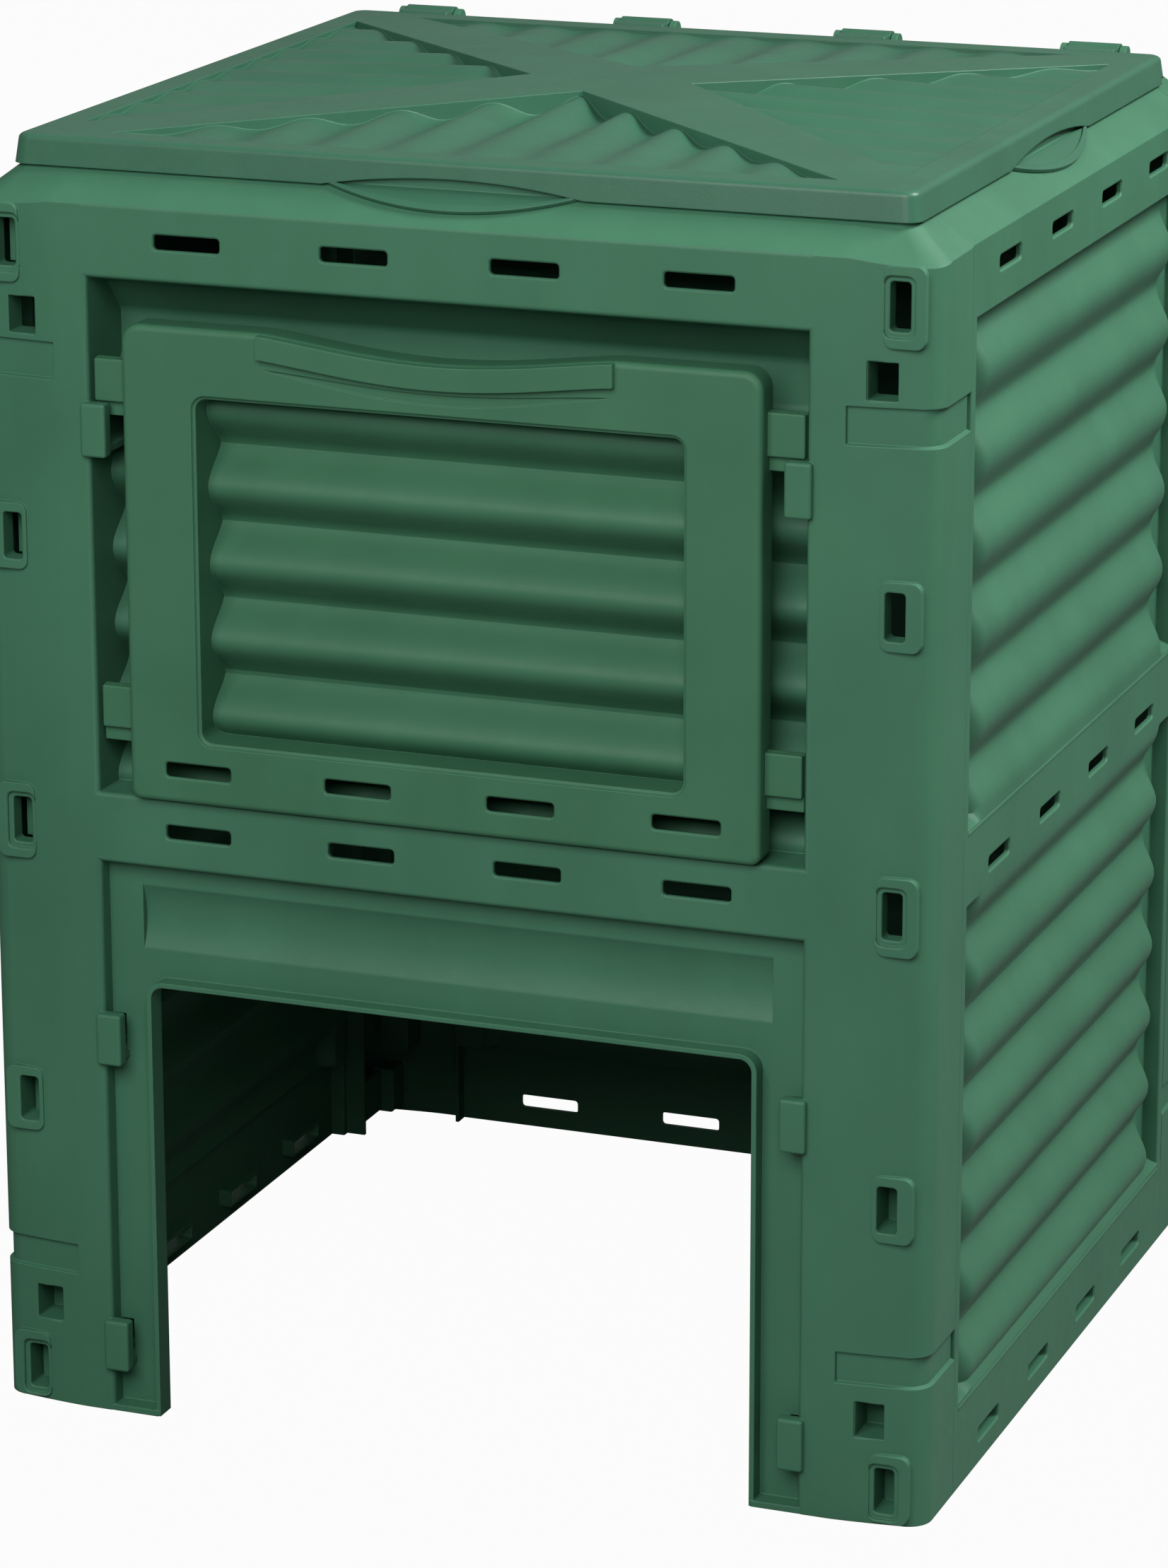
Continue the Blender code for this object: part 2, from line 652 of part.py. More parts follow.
def build_front():
    reach = RECESS_HALF + WALL * 0.5
    past = -SCOOP_HEIGHT
    rows = []
    for depth, z in front_profile():
        rows.append([(past, -HALF_D + depth, z), (reach, -HALF_D + depth, z)])
    panel = sheet("front_panel", rows, WALL, (0.0, -1.0, 0.0))
    join(panel, post(1, FRONT_WAVE_FAR, RECESS_TOP, True))
    back = -HALF_D + RECESS_DEPTH + WALL
    rim_front = -HALF_D + RIM_FRONT_SET_BACK
    rim_line = opening_outline(RIM_WALL)
    rim_line = [(rim_line[0][0], -POST_FOOT * 0.4)] + rim_line + [(rim_line[-1][0], -POST_FOOT * 0.4)]
    rim = prism("rim", [rim_line], "XZ", rim_front, back - WALL * 0.5)
    join(panel, rim)
    foot = box("foot", (OPENING_HALF + RIM_WALL * 0.4, -HALF_D + WALL * 0.1, -POST_FOOT * 0.2),
               (RECESS_HALF + WALL * 0.4, back - WALL * 0.4, FOOT_FLANGE))
    join(panel, foot)
    floor_y = -HALF_D + RECESS_DEPTH
    scoop_r = (SCOOP_HEIGHT ** 2 / 4 + SCOOP_DEPTH ** 2) / (2 * SCOOP_DEPTH)
    scoop_y = floor_y + SCOOP_DEPTH - scoop_r
    behind = math.acos((floor_y + WALL * 0.4 - scoop_y) / (scoop_r + WALL))
    backing = arc(scoop_y, SCOOP_Z, scoop_r + WALL, -behind, behind, 8)
    join(panel, prism("backing", [backing], "YZ", past * 0.8, SCOOP_HALF + WALL))
    spread = math.asin(SCOOP_HEIGHT / 2 / scoop_r)
    hollow = arc(scoop_y, SCOOP_Z, scoop_r, -spread, spread, 8)
    hollow = hollow + [(floor_y - WALL, hollow[-1][1]), (floor_y - WALL, hollow[0][1])]
    cut(panel, prism("scoop", [hollow], "YZ", past * 2, SCOOP_HALF))
    opening = opening_outline(0.0)
    opening = [(opening[0][0], -2 * POST_FOOT)] + opening[1:-1] + [(opening[-1][0], -2 * POST_FOOT)]
    cut(panel, prism("opening", [opening], "XZ", -HALF_D - WALL, back + WALL))
    for top in clip_tops():
        upper = top > FRONT_BAND_TOP
        near = FRONT_WAVE_NEAR if upper else RECESS_DEPTH
        far = FRONT_WAVE_FAR if upper else RECESS_DEPTH
        lip, shelf = clip(top, far)
        hole_outer = RECESS_HALF - GAP
        hole = box("core", (hole_outer - CLIP_HOLE_WIDTH, -HALF_D + near - WALL,
                            top - CLIP_HEIGHT + CLIP_SHELF + CLIP_PROUD),
                   (hole_outer, -HALF_D + far + 3 * WALL, top - WALL))
        cut(panel, hole)
        join(panel, lip, shelf)
    cut(panel, vent_cutters("vents", "XZ", VENT_PITCH, (VENT_TOP_Z, VENT_MID_Z),
                            -HALF_D - WALL, -HALF_D + 2 * WALL))
    return mirror(trim_to_ground(panel))


def hinge_centres():
    """Hinge places on the +X side, the others being their mirror images."""
    return [(k + 0.5) * HINGE_PITCH for k in range(HINGE_COUNT // 2)]


def build_back():
    reach = RECESS_HALF + WALL * 0.5
    panel = corrugated_wall("back_panel", reach, RECESS_HALF, lambda u, inward, z: (u, HALF_D - inward, z),
                            (0.0, 1.0, 0.0), False)
    join(panel, post(-1, WAVE_DEPTH, TOP_BAND_BOTTOM, False))
    ledge = box("ledge", (-INSET_X + WALL, INSET_Y - LEDGE_RUN, SHOULDER_TOP - WALL),
                (INSET_X - WALL, INSET_Y + WALL * 0.3, SHOULDER_TOP))
    join(panel, ledge)
    for x in hinge_centres():
        for side in (1, -1):
            inner = x + side * (KNUCKLE_WIDTH / 2 + LUG_SIDE_GAP)
            lug = arc(HINGE_Y, HINGE_Z, HINGE_BAR_R + LUG_MARGIN, 0.0, math.pi, 6)
            base = SHOULDER_TOP - WALL * 0.5
            lug = lug + [(HINGE_Y - HINGE_BAR_R - LUG_MARGIN, base), (HINGE_Y + HINGE_BAR_R + LUG_MARGIN, base)]
            join(panel, prism("lug", [lug], "YZ", inner, inner + side * LUG_WALL))
        half = KNUCKLE_WIDTH / 2 + LUG_SIDE_GAP + LUG_WALL * 0.6
        join(panel, rod("bar", HINGE_BAR_R, (x - half, HINGE_Y, HINGE_Z), (x + half, HINGE_Y, HINGE_Z), 12))
    cut(panel, vent_cutters("vents", "XZ", VENT_PITCH, (VENT_TOP_Z, VENT_MID_Z, VENT_LOW_Z),
                            HALF_D - 2 * WALL, HALF_D + WALL))
    return mirror(trim_to_ground(panel))


def build_side():
    """Right-hand side panel; its tongues reach into the hollow posts."""
    half = SEAM_Y - GAP
    rib_start = half - RIB_WIDTH
    panel = corrugated_wall("right_panel", half, rib_start, lambda u, inward, z: (HALF_W - inward, u, z),
                            (1.0, 0.0, 0.0), True)
    hook_x = HALF_W - HOOK_INSET
    for end in (1, -1):
        rib = box("rib", (HALF_W - WALL * 0.2, end * rib_start, -POST_FOOT * 0.3),
                  (HALF_W - WAVE_DEPTH - WALL * 0.5, end * (half - GAP), TOP_BAND_BOTTOM + WALL * 0.5))
        plate = box("plate", (HALF_W - WALL * 0.5, end * (half - WALL), -POST_FOOT * 0.8),
                    (hook_x - HOOK_SLOT_WIDTH * 0.1, end * (half - 2 * GAP), WALL_HEIGHT - WALL))
        join(panel, rib, plate)
        tongues = []
        for z in HOOK_TALL_Z + HOOK_SMALL_Z:
            low = max(z - HOOK_SLOT_HEIGHT / 2, HOOK_PAD_FOOT)
            tip = HALF_D - POST_TILT - 2 * WALL
            x = hook_x + HOOK_SLOT_WIDTH * 0.12
            tongues.append(box("tongue", (x, end * (half - WALL * 0.6), low),
                               (x + WALL, end * tip, min(z + HOOK_SLOT_HEIGHT / 2, WALL_HEIGHT - 2 * WALL))))
        join(panel, group("tongues", tongues))
    vents = vent_cutters("vents", "YZ", VENT_PITCH, (VENT_TOP_Z, VENT_MID_Z, VENT_LOW_Z), HALF_W - 2 * WALL,
                         HALF_W + WALL)
    cut(panel, vents)
    return trim_to_ground(panel)


def lid_ring(inset, z):
    """Rounded rectangle at an inset from the lid's outer edge."""
    half_x = LID_HALF_X - inset
    half_y = LID_HALF_Y - inset
    radius = max(LID_CORNER_R - inset * 0.5, 0.003)
    points = []
    corners = ((half_x - radius, half_y - radius, 0.0), (-half_x + radius, half_y - radius, math.pi / 2),
               (-half_x + radius, -half_y + radius, math.pi), (half_x - radius, -half_y + radius, 1.5 * math.pi))
    for cx, cy, start in corners:
        for x, y in arc(cx, cy, radius, start, start + math.pi / 2, 3):
            points.append((x, y + LID_CENTRE_Y, z))
    return points


def lid_shell():
    """Skirt, rounded edge, flat border and low crown as one thickened loft."""
    rings = [lid_ring(0.0, SKIRT_BOTTOM), lid_ring(SKIRT_DRAFT, SKIRT_TOP),
             lid_ring(SKIRT_DRAFT + LID_EDGE_RISE * 0.35, SKIRT_TOP + LID_EDGE_RISE * 0.7),
             lid_ring(SKIRT_DRAFT + LID_EDGE_RISE * 1.2, BORDER_Z), lid_ring(BORDER_WIDTH, BORDER_Z)]
    mesh = bpy.data.meshes.new("lid")
    shape = bmesh.new()
    loops = [[shape.verts.new(point) for point in ring] for ring in rings]
    count = len(loops[0])
    for lower, upper in zip(loops, loops[1:]):
        for k in range(count):
            n = (k + 1) % count
            shape.faces.new((lower[k], lower[n], upper[n], upper[k]))
    top = shape.verts.new((0.0, LID_CENTRE_Y, CROWN_Z))
    for k in range(count):
        shape.faces.new((loops[-1][k], loops[-1][(k + 1) % count], top))
    bmesh.ops.recalc_face_normals(shape, faces=shape.faces)
    total = sum((face.normal.z * face.calc_area() for face in shape.faces))
    if total < 0.0:
        bmesh.ops.reverse_faces(shape, faces=shape.faces)
    shape.to_mesh(mesh)
    shape.free()
    return thicken(new_object("lid", mesh), LID_WALL)


def crown_height(u, v):
    """Top surface height over the crown at a place measured from the lid's centre."""
    share_x = abs(u) / (LID_HALF_X - BORDER_WIDTH)
    share_y = abs(v) / (LID_HALF_Y - BORDER_WIDTH)
    return CROWN_Z - CROWN_RISE * min(1.0, max(share_x, share_y))


def pane_triangle(direction, grow):
    """Corners of one recessed pane between the crossed bands, from its centre corner."""
    reach_x = LID_HALF_X - BORDER_WIDTH
    reach_y = LID_HALF_Y - BORDER_WIDTH
    tilt = math.atan2(reach_y, reach_x)
    centre_half = BAND_CENTRE_WIDTH / 2 - grow
    corner_half = BAND_CORNER_WIDTH / 2 - grow
    if direction in ("front", "rear"):
        sign = -1 if direction == "front" else 1
        edge = reach_y + grow
        spread = (edge - corner_half / math.cos(tilt)) / math.tan(tilt)
        return [(0.0, sign * centre_half / math.cos(tilt)), (spread, sign * edge), (-spread, sign * edge)]
    sign = 1 if direction == "right" else -1
    edge = reach_x + grow
    spread = (edge - corner_half / math.sin(tilt)) * math.tan(tilt)
    return [(sign * centre_half / math.sin(tilt), 0.0), (sign * edge, spread), (sign * edge, -spread)]


def pane(direction):
    """Waved pane and its upright edge wall."""
    corners = pane_triangle(direction, 0.0)
    wide = pane_triangle(direction, PANE_WALL * 0.5)
    along_x = direction in ("front", "rear")
    deep = LID_WALL * 0.5 + PANE_DROP + PANE_WAVE + PANE_WALL
    upper = []
    lower = []
    for u, v in corners + corners[:1]:
        z = crown_height(u, v) - LID_WALL * 0.3
        upper.append((u, v + LID_CENTRE_Y, z))
        lower.append((u, v + LID_CENTRE_Y, z - deep))
    mesh = bpy.data.meshes.new("edge")
    shape = bmesh.new()
    top_loop = [shape.verts.new(point) for point in upper[:3]]
    low_loop = [shape.verts.new(point) for point in lower[:3]]
    centre = Vector((sum(c[0] for c in corners) / 3, sum(c[1] for c in corners) / 3 + LID_CENTRE_Y, 0.0))
    for k in range(3):
        n = (k + 1) % 3
        face = shape.faces.new((low_loop[k], low_loop[n], top_loop[n], top_loop[k]))
        face.normal_update()
        inward = centre - face.calc_center_median()
        inward.z = 0.0
        if face.normal.dot(inward) < 0.0:
            face.normal_flip()
    shape.to_mesh(mesh)
    shape.free()
    edge_wall = thicken(new_object("edge", mesh), PANE_WALL)
    span = max(abs(c[0 if along_x else 1]) for c in wide) * 1.02
    steps = round(2 * span / PANE_PITCH * WAVE_STEPS)
    sign = -1 if direction in ("front", "left") else 1
    reach = (LID_HALF_Y if along_x else LID_HALF_X) - BORDER_WIDTH
    rows = []
    for far in (0.0, reach * 1.02):
        row = []
        for k in range(steps + 1):
            s = -span + 2 * span * k / steps
            drop_z = PANE_DROP + PANE_WAVE * (0.5 - 0.5 * math.cos(2 * math.pi * s / PANE_PITCH))
            z = CROWN_Z - CROWN_RISE * far / reach - drop_z
            u, v = (s, sign * far) if along_x else (sign * far, s)
            row.append((u, v + LID_CENTRE_Y, z))
        rows.append(row)
    waves = sheet("waves", rows, PANE_WALL, (0.0, 0.0, 1.0))
    outline = [(u, v + LID_CENTRE_Y) for u, v in wide]
    boolean(waves, prism("trim", [outline], "XY", BORDER_Z - 0.05, CROWN_Z + 0.05), "INTERSECT")
    return edge_wall, waves


def lens(half, rise, drop_, steps):
    """Lens outline between an upper and a lower bow through the same two ends."""
    upper = []
    lower = []
    for k in range(steps + 1):
        s = -1.0 + 2.0 * k / steps
        bow = 1.0 - s * s
        upper.append((s * half, rise * bow))
        lower.append((s * half, -drop_ * bow))
    return upper + lower[-2:0:-1]


def tongue(turn):
    """Lens-shaped finger flap that lies just off the shoulder, turned to its side of the lid."""
    reach = INSET_Y if abs(math.sin(turn)) < 0.5 else INSET_X
    centre_shift = 0.0 if abs(math.sin(turn)) < 0.5 else LID_CENTRE_Y
    outline = [(u, v) for u, v in lens(GRIP_HALF * 0.96, 0.0008, TONGUE_LENGTH, 12)]
    flap = prism("tongue", [outline], "XY", 0.0, TONGUE_WALL)
    slope = math.atan2(SHOULDER_RISE, SHOULDER_RUN)
    lift = Matrix.Translation((0.0, 0.0, TONGUE_GAP))
    lean = Matrix.Rotation(slope, 4, "X")
    start = Matrix.Translation((0.0, -(reach + LID_OVERHANG * 0.45), SHOULDER_TOP - LID_OVERHANG * 0.45 * SLOPE))
    spin = Matrix.Translation((0.0, centre_shift, 0.0)) @ Matrix.Rotation(turn, 4, "Z")
    flap.data.transform(spin @ start @ lean @ lift)
    return flap


def build_lid():
    lid = lid_shell()
    tools = []
    for direction in ("front", "rear", "left", "right"):
        outline = [(u, v + LID_CENTRE_Y) for u, v in pane_triangle(direction, 0.0)]
        tools.append(prism("pane", [outline], "XY", BORDER_Z - 0.05, CROWN_Z + 0.05))
    cut(lid, group("panes", tools))
    for direction in ("front", "rear", "left", "right"):
        edge_wall, waves = pane(direction)
        join(lid, edge_wall, waves)
    rear = box("rear_cut", (-LID_HALF_X - WALL, LID_REAR - LID_CORNER_R - LID_WALL, SKIRT_BOTTOM - WALL),
               (LID_HALF_X + WALL, LID_REAR + LID_WALL * 2, SKIRT_BOTTOM + REAR_SKIRT_CUT))
    cut(lid, rear)
    arch = [(u, v + SKIRT_BOTTOM) for u, v in lens(GRIP_HALF, GRIP_ARCH, GRIP_ARCH, 12)]
    cut(lid, prism("arch", [arch], "XZ", LID_FRONT - WALL, LID_FRONT + 2 * LID_WALL))
    shifted = [(u + LID_CENTRE_Y, v) for u, v in arch]
    cut(lid, prism("arch", [shifted], "YZ", LID_HALF_X + WALL, LID_HALF_X - 2 * LID_WALL))
    join(lid, tongue(0.0), tongue(math.pi / 2))
    inner_r = HINGE_BAR_R + HINGE_CLEARANCE
    mouth_start = -math.pi / 2 - KNUCKLE_MOUTH / 2
    mouth_end = -math.pi / 2 + KNUCKLE_MOUTH / 2
    outer = arc(HINGE_Y, HINGE_Z, KNUCKLE_R, mouth_end, mouth_start + 2 * math.pi, 14)
    inner = arc(HINGE_Y, HINGE_Z, inner_r, mouth_start + 2 * math.pi, mouth_end, 12)
    for x in hinge_centres():
        hook = prism("knuckle", [outer + inner], "YZ", x - KNUCKLE_WIDTH / 2, x + KNUCKLE_WIDTH / 2)
        arm_y = HINGE_Y - inner_r * 1.3
        arm = box("arm", (x - KNUCKLE_WIDTH / 2, LID_REAR - SKIRT_DRAFT - LID_WALL * 0.8, HINGE_Z - HINGE_BAR_R),
                  (x + KNUCKLE_WIDTH / 2, arm_y, BORDER_Z + LID_WALL * 0.4))
        join(lid, hook, arm)
    return mirror(lid)


def dip(x):
    """How far the door's top edge falls at a place along it."""
    if abs(x) >= DIP_HALF:
        return 0.0
    return DIP_DEPTH * math.cos(math.pi / 2 * x / DIP_HALF) ** 1.2


def door_outline(inset):
    half = DOOR_HALF - inset
    low = DOOR_BOTTOM + inset
    high = DOOR_TOP - inset
    radius = DOOR_CORNER - inset
    points = arc(half - radius, high - radius, radius, 0.0, math.pi / 2, 3)
    for k in range(13):
        x = DIP_HALF - 2 * DIP_HALF * k / 12
        points.append((x, high - dip(x)))
    points += arc(-half + radius, high - radius, radius, math.pi / 2, math.pi, 3)
    small = radius * 0.5
    points += arc(-half + small, low + small, small, math.pi, 1.5 * math.pi, 2)
    points += arc(half - small, low + small, small, 1.5 * math.pi, 2 * math.pi, 2)
    return points


def build_door():
    back = DOOR_FRONT + DOOR_DEPTH
    door = prism("front_door", [door_outline(0.0)], "XZ", DOOR_FRONT, back)
    edge = door.modifiers.new("edge", "BEVEL")
    edge.width = DOOR_WALL * 0.6
    edge.segments = 1
    edge.limit_method = "ANGLE"
    edge.angle_limit = math.radians(60)
    bake(door)
    cut(door, prism("hollow", [door_outline(DOOR_WALL)], "XZ", DOOR_FRONT + DOOR_WALL, back + DOOR_WALL))
    panel_low = DOOR_BOTTOM + DOOR_PANEL_BOTTOM
    panel_z = panel_low + DOOR_PANEL_HEIGHT / 2
    hole = cut_corner_box(0.0, panel_z, 2 * DOOR_PANEL_HALF, DOOR_PANEL_HEIGHT, DOOR_PANEL_CORNER)
    cut(door, prism("window", [hole], "XZ", DOOR_FRONT - DOOR_WALL, DOOR_FRONT + 2 * DOOR_WALL))
    outer = cut_corner_box(0.0, panel_z, 2 * (DOOR_PANEL_HALF + DOOR_WALL), DOOR_PANEL_HEIGHT + 2 * DOOR_WALL,
                           DOOR_PANEL_CORNER * 1.2)
    frame = prism("frame", [outer, hole], "XZ", DOOR_FRONT + DOOR_WALL * 0.4,
                  DOOR_FRONT + DOOR_WAVE_FAR + 2 * DOOR_WALL)
    half = DOOR_PANEL_HALF + DOOR_WALL * 0.5
    low = panel_low - DOOR_WALL * 0.5
    high = panel_low + DOOR_PANEL_HEIGHT + DOOR_WALL * 0.5
    rows = []
    behind = []
    for z in wave_heights(low, high, DOOR_WAVE_PITCH):
        share = crest(z, DOOR_BOTTOM + DOOR_WAVE_FIRST, DOOR_WAVE_PITCH)
        y = DOOR_FRONT + DOOR_WAVE_FAR - (DOOR_WAVE_FAR - DOOR_WAVE_NEAR) * share
        rows.append([(-half, y, z), (half, y, z)])
        behind.append((y + DOOR_WALL * 0.6, z))
    far = DOOR_FRONT + 2 * DOOR_WAVE_FAR
    behind = [(far, low - WALL), (behind[0][0], low - WALL)] + behind
    behind += [(behind[-1][0], high + WALL), (far, high + WALL)]
    cut(frame, prism("behind", [behind], "YZ", -DOOR_HALF, DOOR_HALF))
    waves = sheet("waves", rows, DOOR_WALL, (0.0, -1.0, 0.0))
    join(door, frame, waves)
    upper = []
    lower = []
    for k in range(13):
        x = -DIP_HALF + 2 * DIP_HALF * k / 12
        top = DOOR_TOP - dip(x) - DOOR_WALL * 0.3
        upper.append((x, top))
        lower.append((x, top - LIP_BAND))
    lip = prism("lip", [upper + lower[::-1]], "XZ", DOOR_FRONT - LIP_PROUD, DOOR_FRONT + DOOR_WALL * 0.5)
    soft = lip.modifiers.new("edge", "BEVEL")
    soft.width = LIP_PROUD * 0.4
    soft.segments = 1
    soft.limit_method = "ANGLE"
    soft.angle_limit = math.radians(60)
    bake(lip)
    join(door, lip)
    groove = []
    for sign in (1, -1):
        for k in range(13):
            s = -1.0 + 2.0 * k / 12
            x = sign * s * DIP_HALF * 0.97
            mid = DOOR_TOP - dip(x) - LIP_BAND - GROOVE_DROP - GROOVE_HEIGHT / 2
            half = max(GROOVE_HEIGHT / 2 * (1.0 - s * s), 0.0)
            if not (k == 0 and sign == -1) and not (k == 12 and sign == -1):
                groove.append((x, mid + sign * half))
    cut(door, prism("groove", [groove], "XZ", DOOR_FRONT - DOOR_WALL, DOOR_FRONT + GROOVE_DEPTH))
    tab_front = -HALF_D + TAB_FRONT_SET_BACK
    for z in (DOOR_BOTTOM + TAB_LOWER_Z, DOOR_BOTTOM + TAB_UPPER_Z):
        flange = box("tab", (DOOR_HALF - DOOR_WALL * 0.5, tab_front, z),
                     (DOOR_HALF + TAB_REACH, tab_front + TAB_WALL, z + TAB_HEIGHT))
        step = box("step", (DOOR_HALF - DOOR_WALL * 0.4, tab_front - TAB_STEP, z + CLIP_BITE + GAP),
                   (DOOR_HALF + TAB_REACH - GAP, tab_front + TAB_WALL * 0.6, z + TAB_HEIGHT - GAP))
        join(door, flange, step)
    vents = vent_cutters("vents", "XZ", DOOR_VENT_PITCH, (DOOR_BOTTOM + DOOR_VENT_Z,), DOOR_FRONT - DOOR_WALL,
                         DOOR_FRONT + 2 * DOOR_WALL)
    cut(door, vents)
    return mirror(door)


def finish(item, name, material, origin=None):
    """Name, shade, colour and set the origin of a finished piece."""
    item.name = name
    item.data.name = name
    item.data.materials.clear()
    item.data.materials.append(material)
    if origin is not None:
        item.data.transform(Matrix.Translation(-Vector(origin)))
        item.location = origin
    item.location.y += CENTRE_SHIFT
    item.data.shade_smooth()
    item.data.set_sharp_from_angle(angle=math.radians(35))


clear_scene()
wall_green = plastic("moulded_green", (0.060, 0.155, 0.092), 0.52)
lid_green = plastic("lid_green", (0.078, 0.185, 0.118), 0.50)
door_green = plastic("door_green", (0.052, 0.140, 0.083), 0.52)

finish(build_front(), "front_panel", wall_green)
finish(build_back(), "back_panel", wall_green)
right_panel = build_side()
finish(mirror_copy(right_panel, "left_panel"), "left_panel", wall_green)
finish(right_panel, "right_panel", wall_green)
finish(build_lid(), "lid", lid_green, (0.0, HINGE_Y, HINGE_Z))
finish(build_door(), "front_door", door_green, (0.0, DOOR_FRONT + DOOR_DEPTH / 2, DOOR_BOTTOM))
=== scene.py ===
# Looks of the garden compost bin: detailed shells, plastic materials, studio light and camera
import math

import bmesh
import bpy
from mathutils import Matrix, Vector


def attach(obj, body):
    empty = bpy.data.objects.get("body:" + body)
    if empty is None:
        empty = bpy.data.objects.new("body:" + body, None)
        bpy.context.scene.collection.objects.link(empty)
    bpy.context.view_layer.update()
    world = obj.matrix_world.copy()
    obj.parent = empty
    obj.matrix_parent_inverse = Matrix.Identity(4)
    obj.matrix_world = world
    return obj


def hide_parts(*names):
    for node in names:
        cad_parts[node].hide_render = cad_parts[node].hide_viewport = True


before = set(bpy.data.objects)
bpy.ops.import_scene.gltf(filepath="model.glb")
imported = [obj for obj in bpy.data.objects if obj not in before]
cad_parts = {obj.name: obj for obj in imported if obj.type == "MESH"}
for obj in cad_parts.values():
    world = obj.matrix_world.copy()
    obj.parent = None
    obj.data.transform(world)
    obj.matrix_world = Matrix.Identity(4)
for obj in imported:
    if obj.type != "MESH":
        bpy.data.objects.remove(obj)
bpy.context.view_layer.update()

# Body sizes in metres
BODY_WIDTH = 0.610
BODY_DEPTH = 0.588
WALL_HEIGHT = 0.768
WALL = 0.0035
SKIN = 0.0024
GAP = 0.0003
HAIR = 0.00002

# Sloping shoulder and lip above the walls
SHOULDER_RUN = 0.0255
SHOULDER_RISE = 0.0185
LIP_HEIGHT = 0.0105

# Corner posts
POST_FACE = 0.0604
POST_TILT = 0.0045
POST_ARCH = 0.0040
POST_CORNER_R = 0.015
STRIP_WIDTH = 0.0182
SEAM_FLANGE = 0.014
STRAP_DEPTH = 0.0025
STRAP_START = 0.0045
STRAP_DRAFT = 0.0008
STRAPS = [(0.088, 0.020), (0.660, 0.023)]
FOOT_DROP = 0.006
EDGE_R = 0.0030

# Slots and holes in the post faces
HOOK_INSET = 0.0250
HOOK_SLOT_WIDTH = 0.0125
HOOK_SLOT_HEIGHT = 0.029
HOOK_SINK_WIDTH = 0.0185
HOOK_SINK_HEIGHT = 0.0355
HOOK_SINK_DEPTH = 0.0026
HOOK_PAD_WIDTH = 0.0250
HOOK_PAD_MARGIN = 0.0062
HOOK_PAD_BACK = 0.0003
HOOK_PAD_FOOT = 0.0018
HOOK_TALL_Z = [0.0215, 0.3816, 0.7415]
HOOK_SMALL_Z = [0.2010, 0.5615]
HOOK_SLEEVE_DEPTH = 0.014
SQUARE_INSET = 0.0345
SQUARE_WIDTH = 0.0180
SQUARE_HEIGHT = 0.0225
SQUARE_Z = [0.0658, 0.6980]
SQUARE_SLEEVE_DEPTH = 0.021
SQUARE_CORNER = 0.0008
SLOT_FLARE = 0.0005
SINK_FLARE = 0.0007
SQUARE_FLARE = 0.0006
FLARE_OVERLAP = 1.001
PAD_EDGE_R = 0.0009
SLEEVE_WALL = 0.0016
BLIND_BELOW = 0.25
BLIND_DEPTH = 0.026

# Ventilation slots
VENT_COUNT = 4
VENT_PITCH = 0.107
VENT_WIDTH = 0.043
VENT_HEIGHT = 0.0092
VENT_CORNER = 0.0024
VENT_FLARE = 0.0008
VENT_SLEEVE_DEPTH = 0.0115
VENT_TOP_Z = 0.748
VENT_MID_Z = 0.3846
VENT_LOW_Z = 0.0184

# Corrugated walls of the sides and the back
WAVE_STEPS = 16
WAVE_DEPTH = 0.0112
LOW_BAND_TOP = 0.056
MID_BAND_BOTTOM = 0.371
MID_BAND_TOP = 0.4175
TOP_BAND_BOTTOM = 0.7246
BAND_EASE = 0.0045
LOW_WAVE_FIRST = 0.070
LOW_WAVE_PITCH = 0.0498
UPPER_WAVE_FIRST = 0.423
UPPER_WAVE_PITCH = 0.053
CHANNEL_WIDTH = 0.016
CREST_RUNOUT = 0.013
RIB_WIDTH = 0.0090
RIB_EDGE_R = 0.0012
LEDGE_PROUD = 0.0007
LEDGE_LINE = 0.0022

# Front panel recesses
RECESS_DEPTH = 0.0125
RECESS_TOP = 0.7246
FRONT_BAND_BOTTOM = 0.361
FRONT_BAND_TOP = 0.4055
FRONT_WAVE_NEAR = 0.0285
FRONT_WAVE_FAR = 0.048
FRONT_WAVE_FIRST = 0.4095
FRONT_WAVE_PITCH = 0.0475
FRONT_WAVE_COUNT = 5
COVE_HEIGHT = 0.028
COVE_LIP = 0.007
COVE_R = 0.008
LIP_ROOT_R = 0.001
SCOOP_HALF = 0.2043
SCOOP_Z = 0.3250
SCOOP_HEIGHT = 0.042
SCOOP_DEPTH = 0.0058

# Lower opening and its rim
OPENING_HALF = 0.1952
OPENING_TOP = 0.2838
OPENING_CORNER = 0.008
RIM_WALL = 0.0031
RIM_FRONT_SET_BACK = 0.0010
FOOT_FLANGE = 0.004

# Door hung on moulded clips
DOOR_HALF = 0.2015
DOOR_BOTTOM = 0.4060
DOOR_HEIGHT = 0.2935
DOOR_PROUD = 0.0073
DOOR_DEPTH = 0.0195
DOOR_WALL = 0.0026
DOOR_CORNER = 0.012
DOOR_EDGE_R = 0.0040
DOOR_PANEL_HALF = 0.154
DOOR_PANEL_BOTTOM = 0.0392
DOOR_PANEL_HEIGHT = 0.212
DOOR_PANEL_CORNER = 0.007
WINDOW_FLARE = 0.0022
DOOR_WAVE_NEAR = 0.0185
DOOR_WAVE_FAR = 0.0385
DOOR_WAVE_FIRST = 0.0510
DOOR_WAVE_PITCH = 0.0475
DOOR_VENT_PITCH = 0.1042
DOOR_VENT_Z = 0.0208
DIP_HALF = 0.112
DIP_DEPTH = 0.010
LIP_BAND = 0.0140
LIP_PROUD = 0.0045
GROOVE_DROP = 0.0040
GROOVE_HEIGHT = 0.0065
GROOVE_DEPTH = 0.0014
TAB_REACH = 0.0228
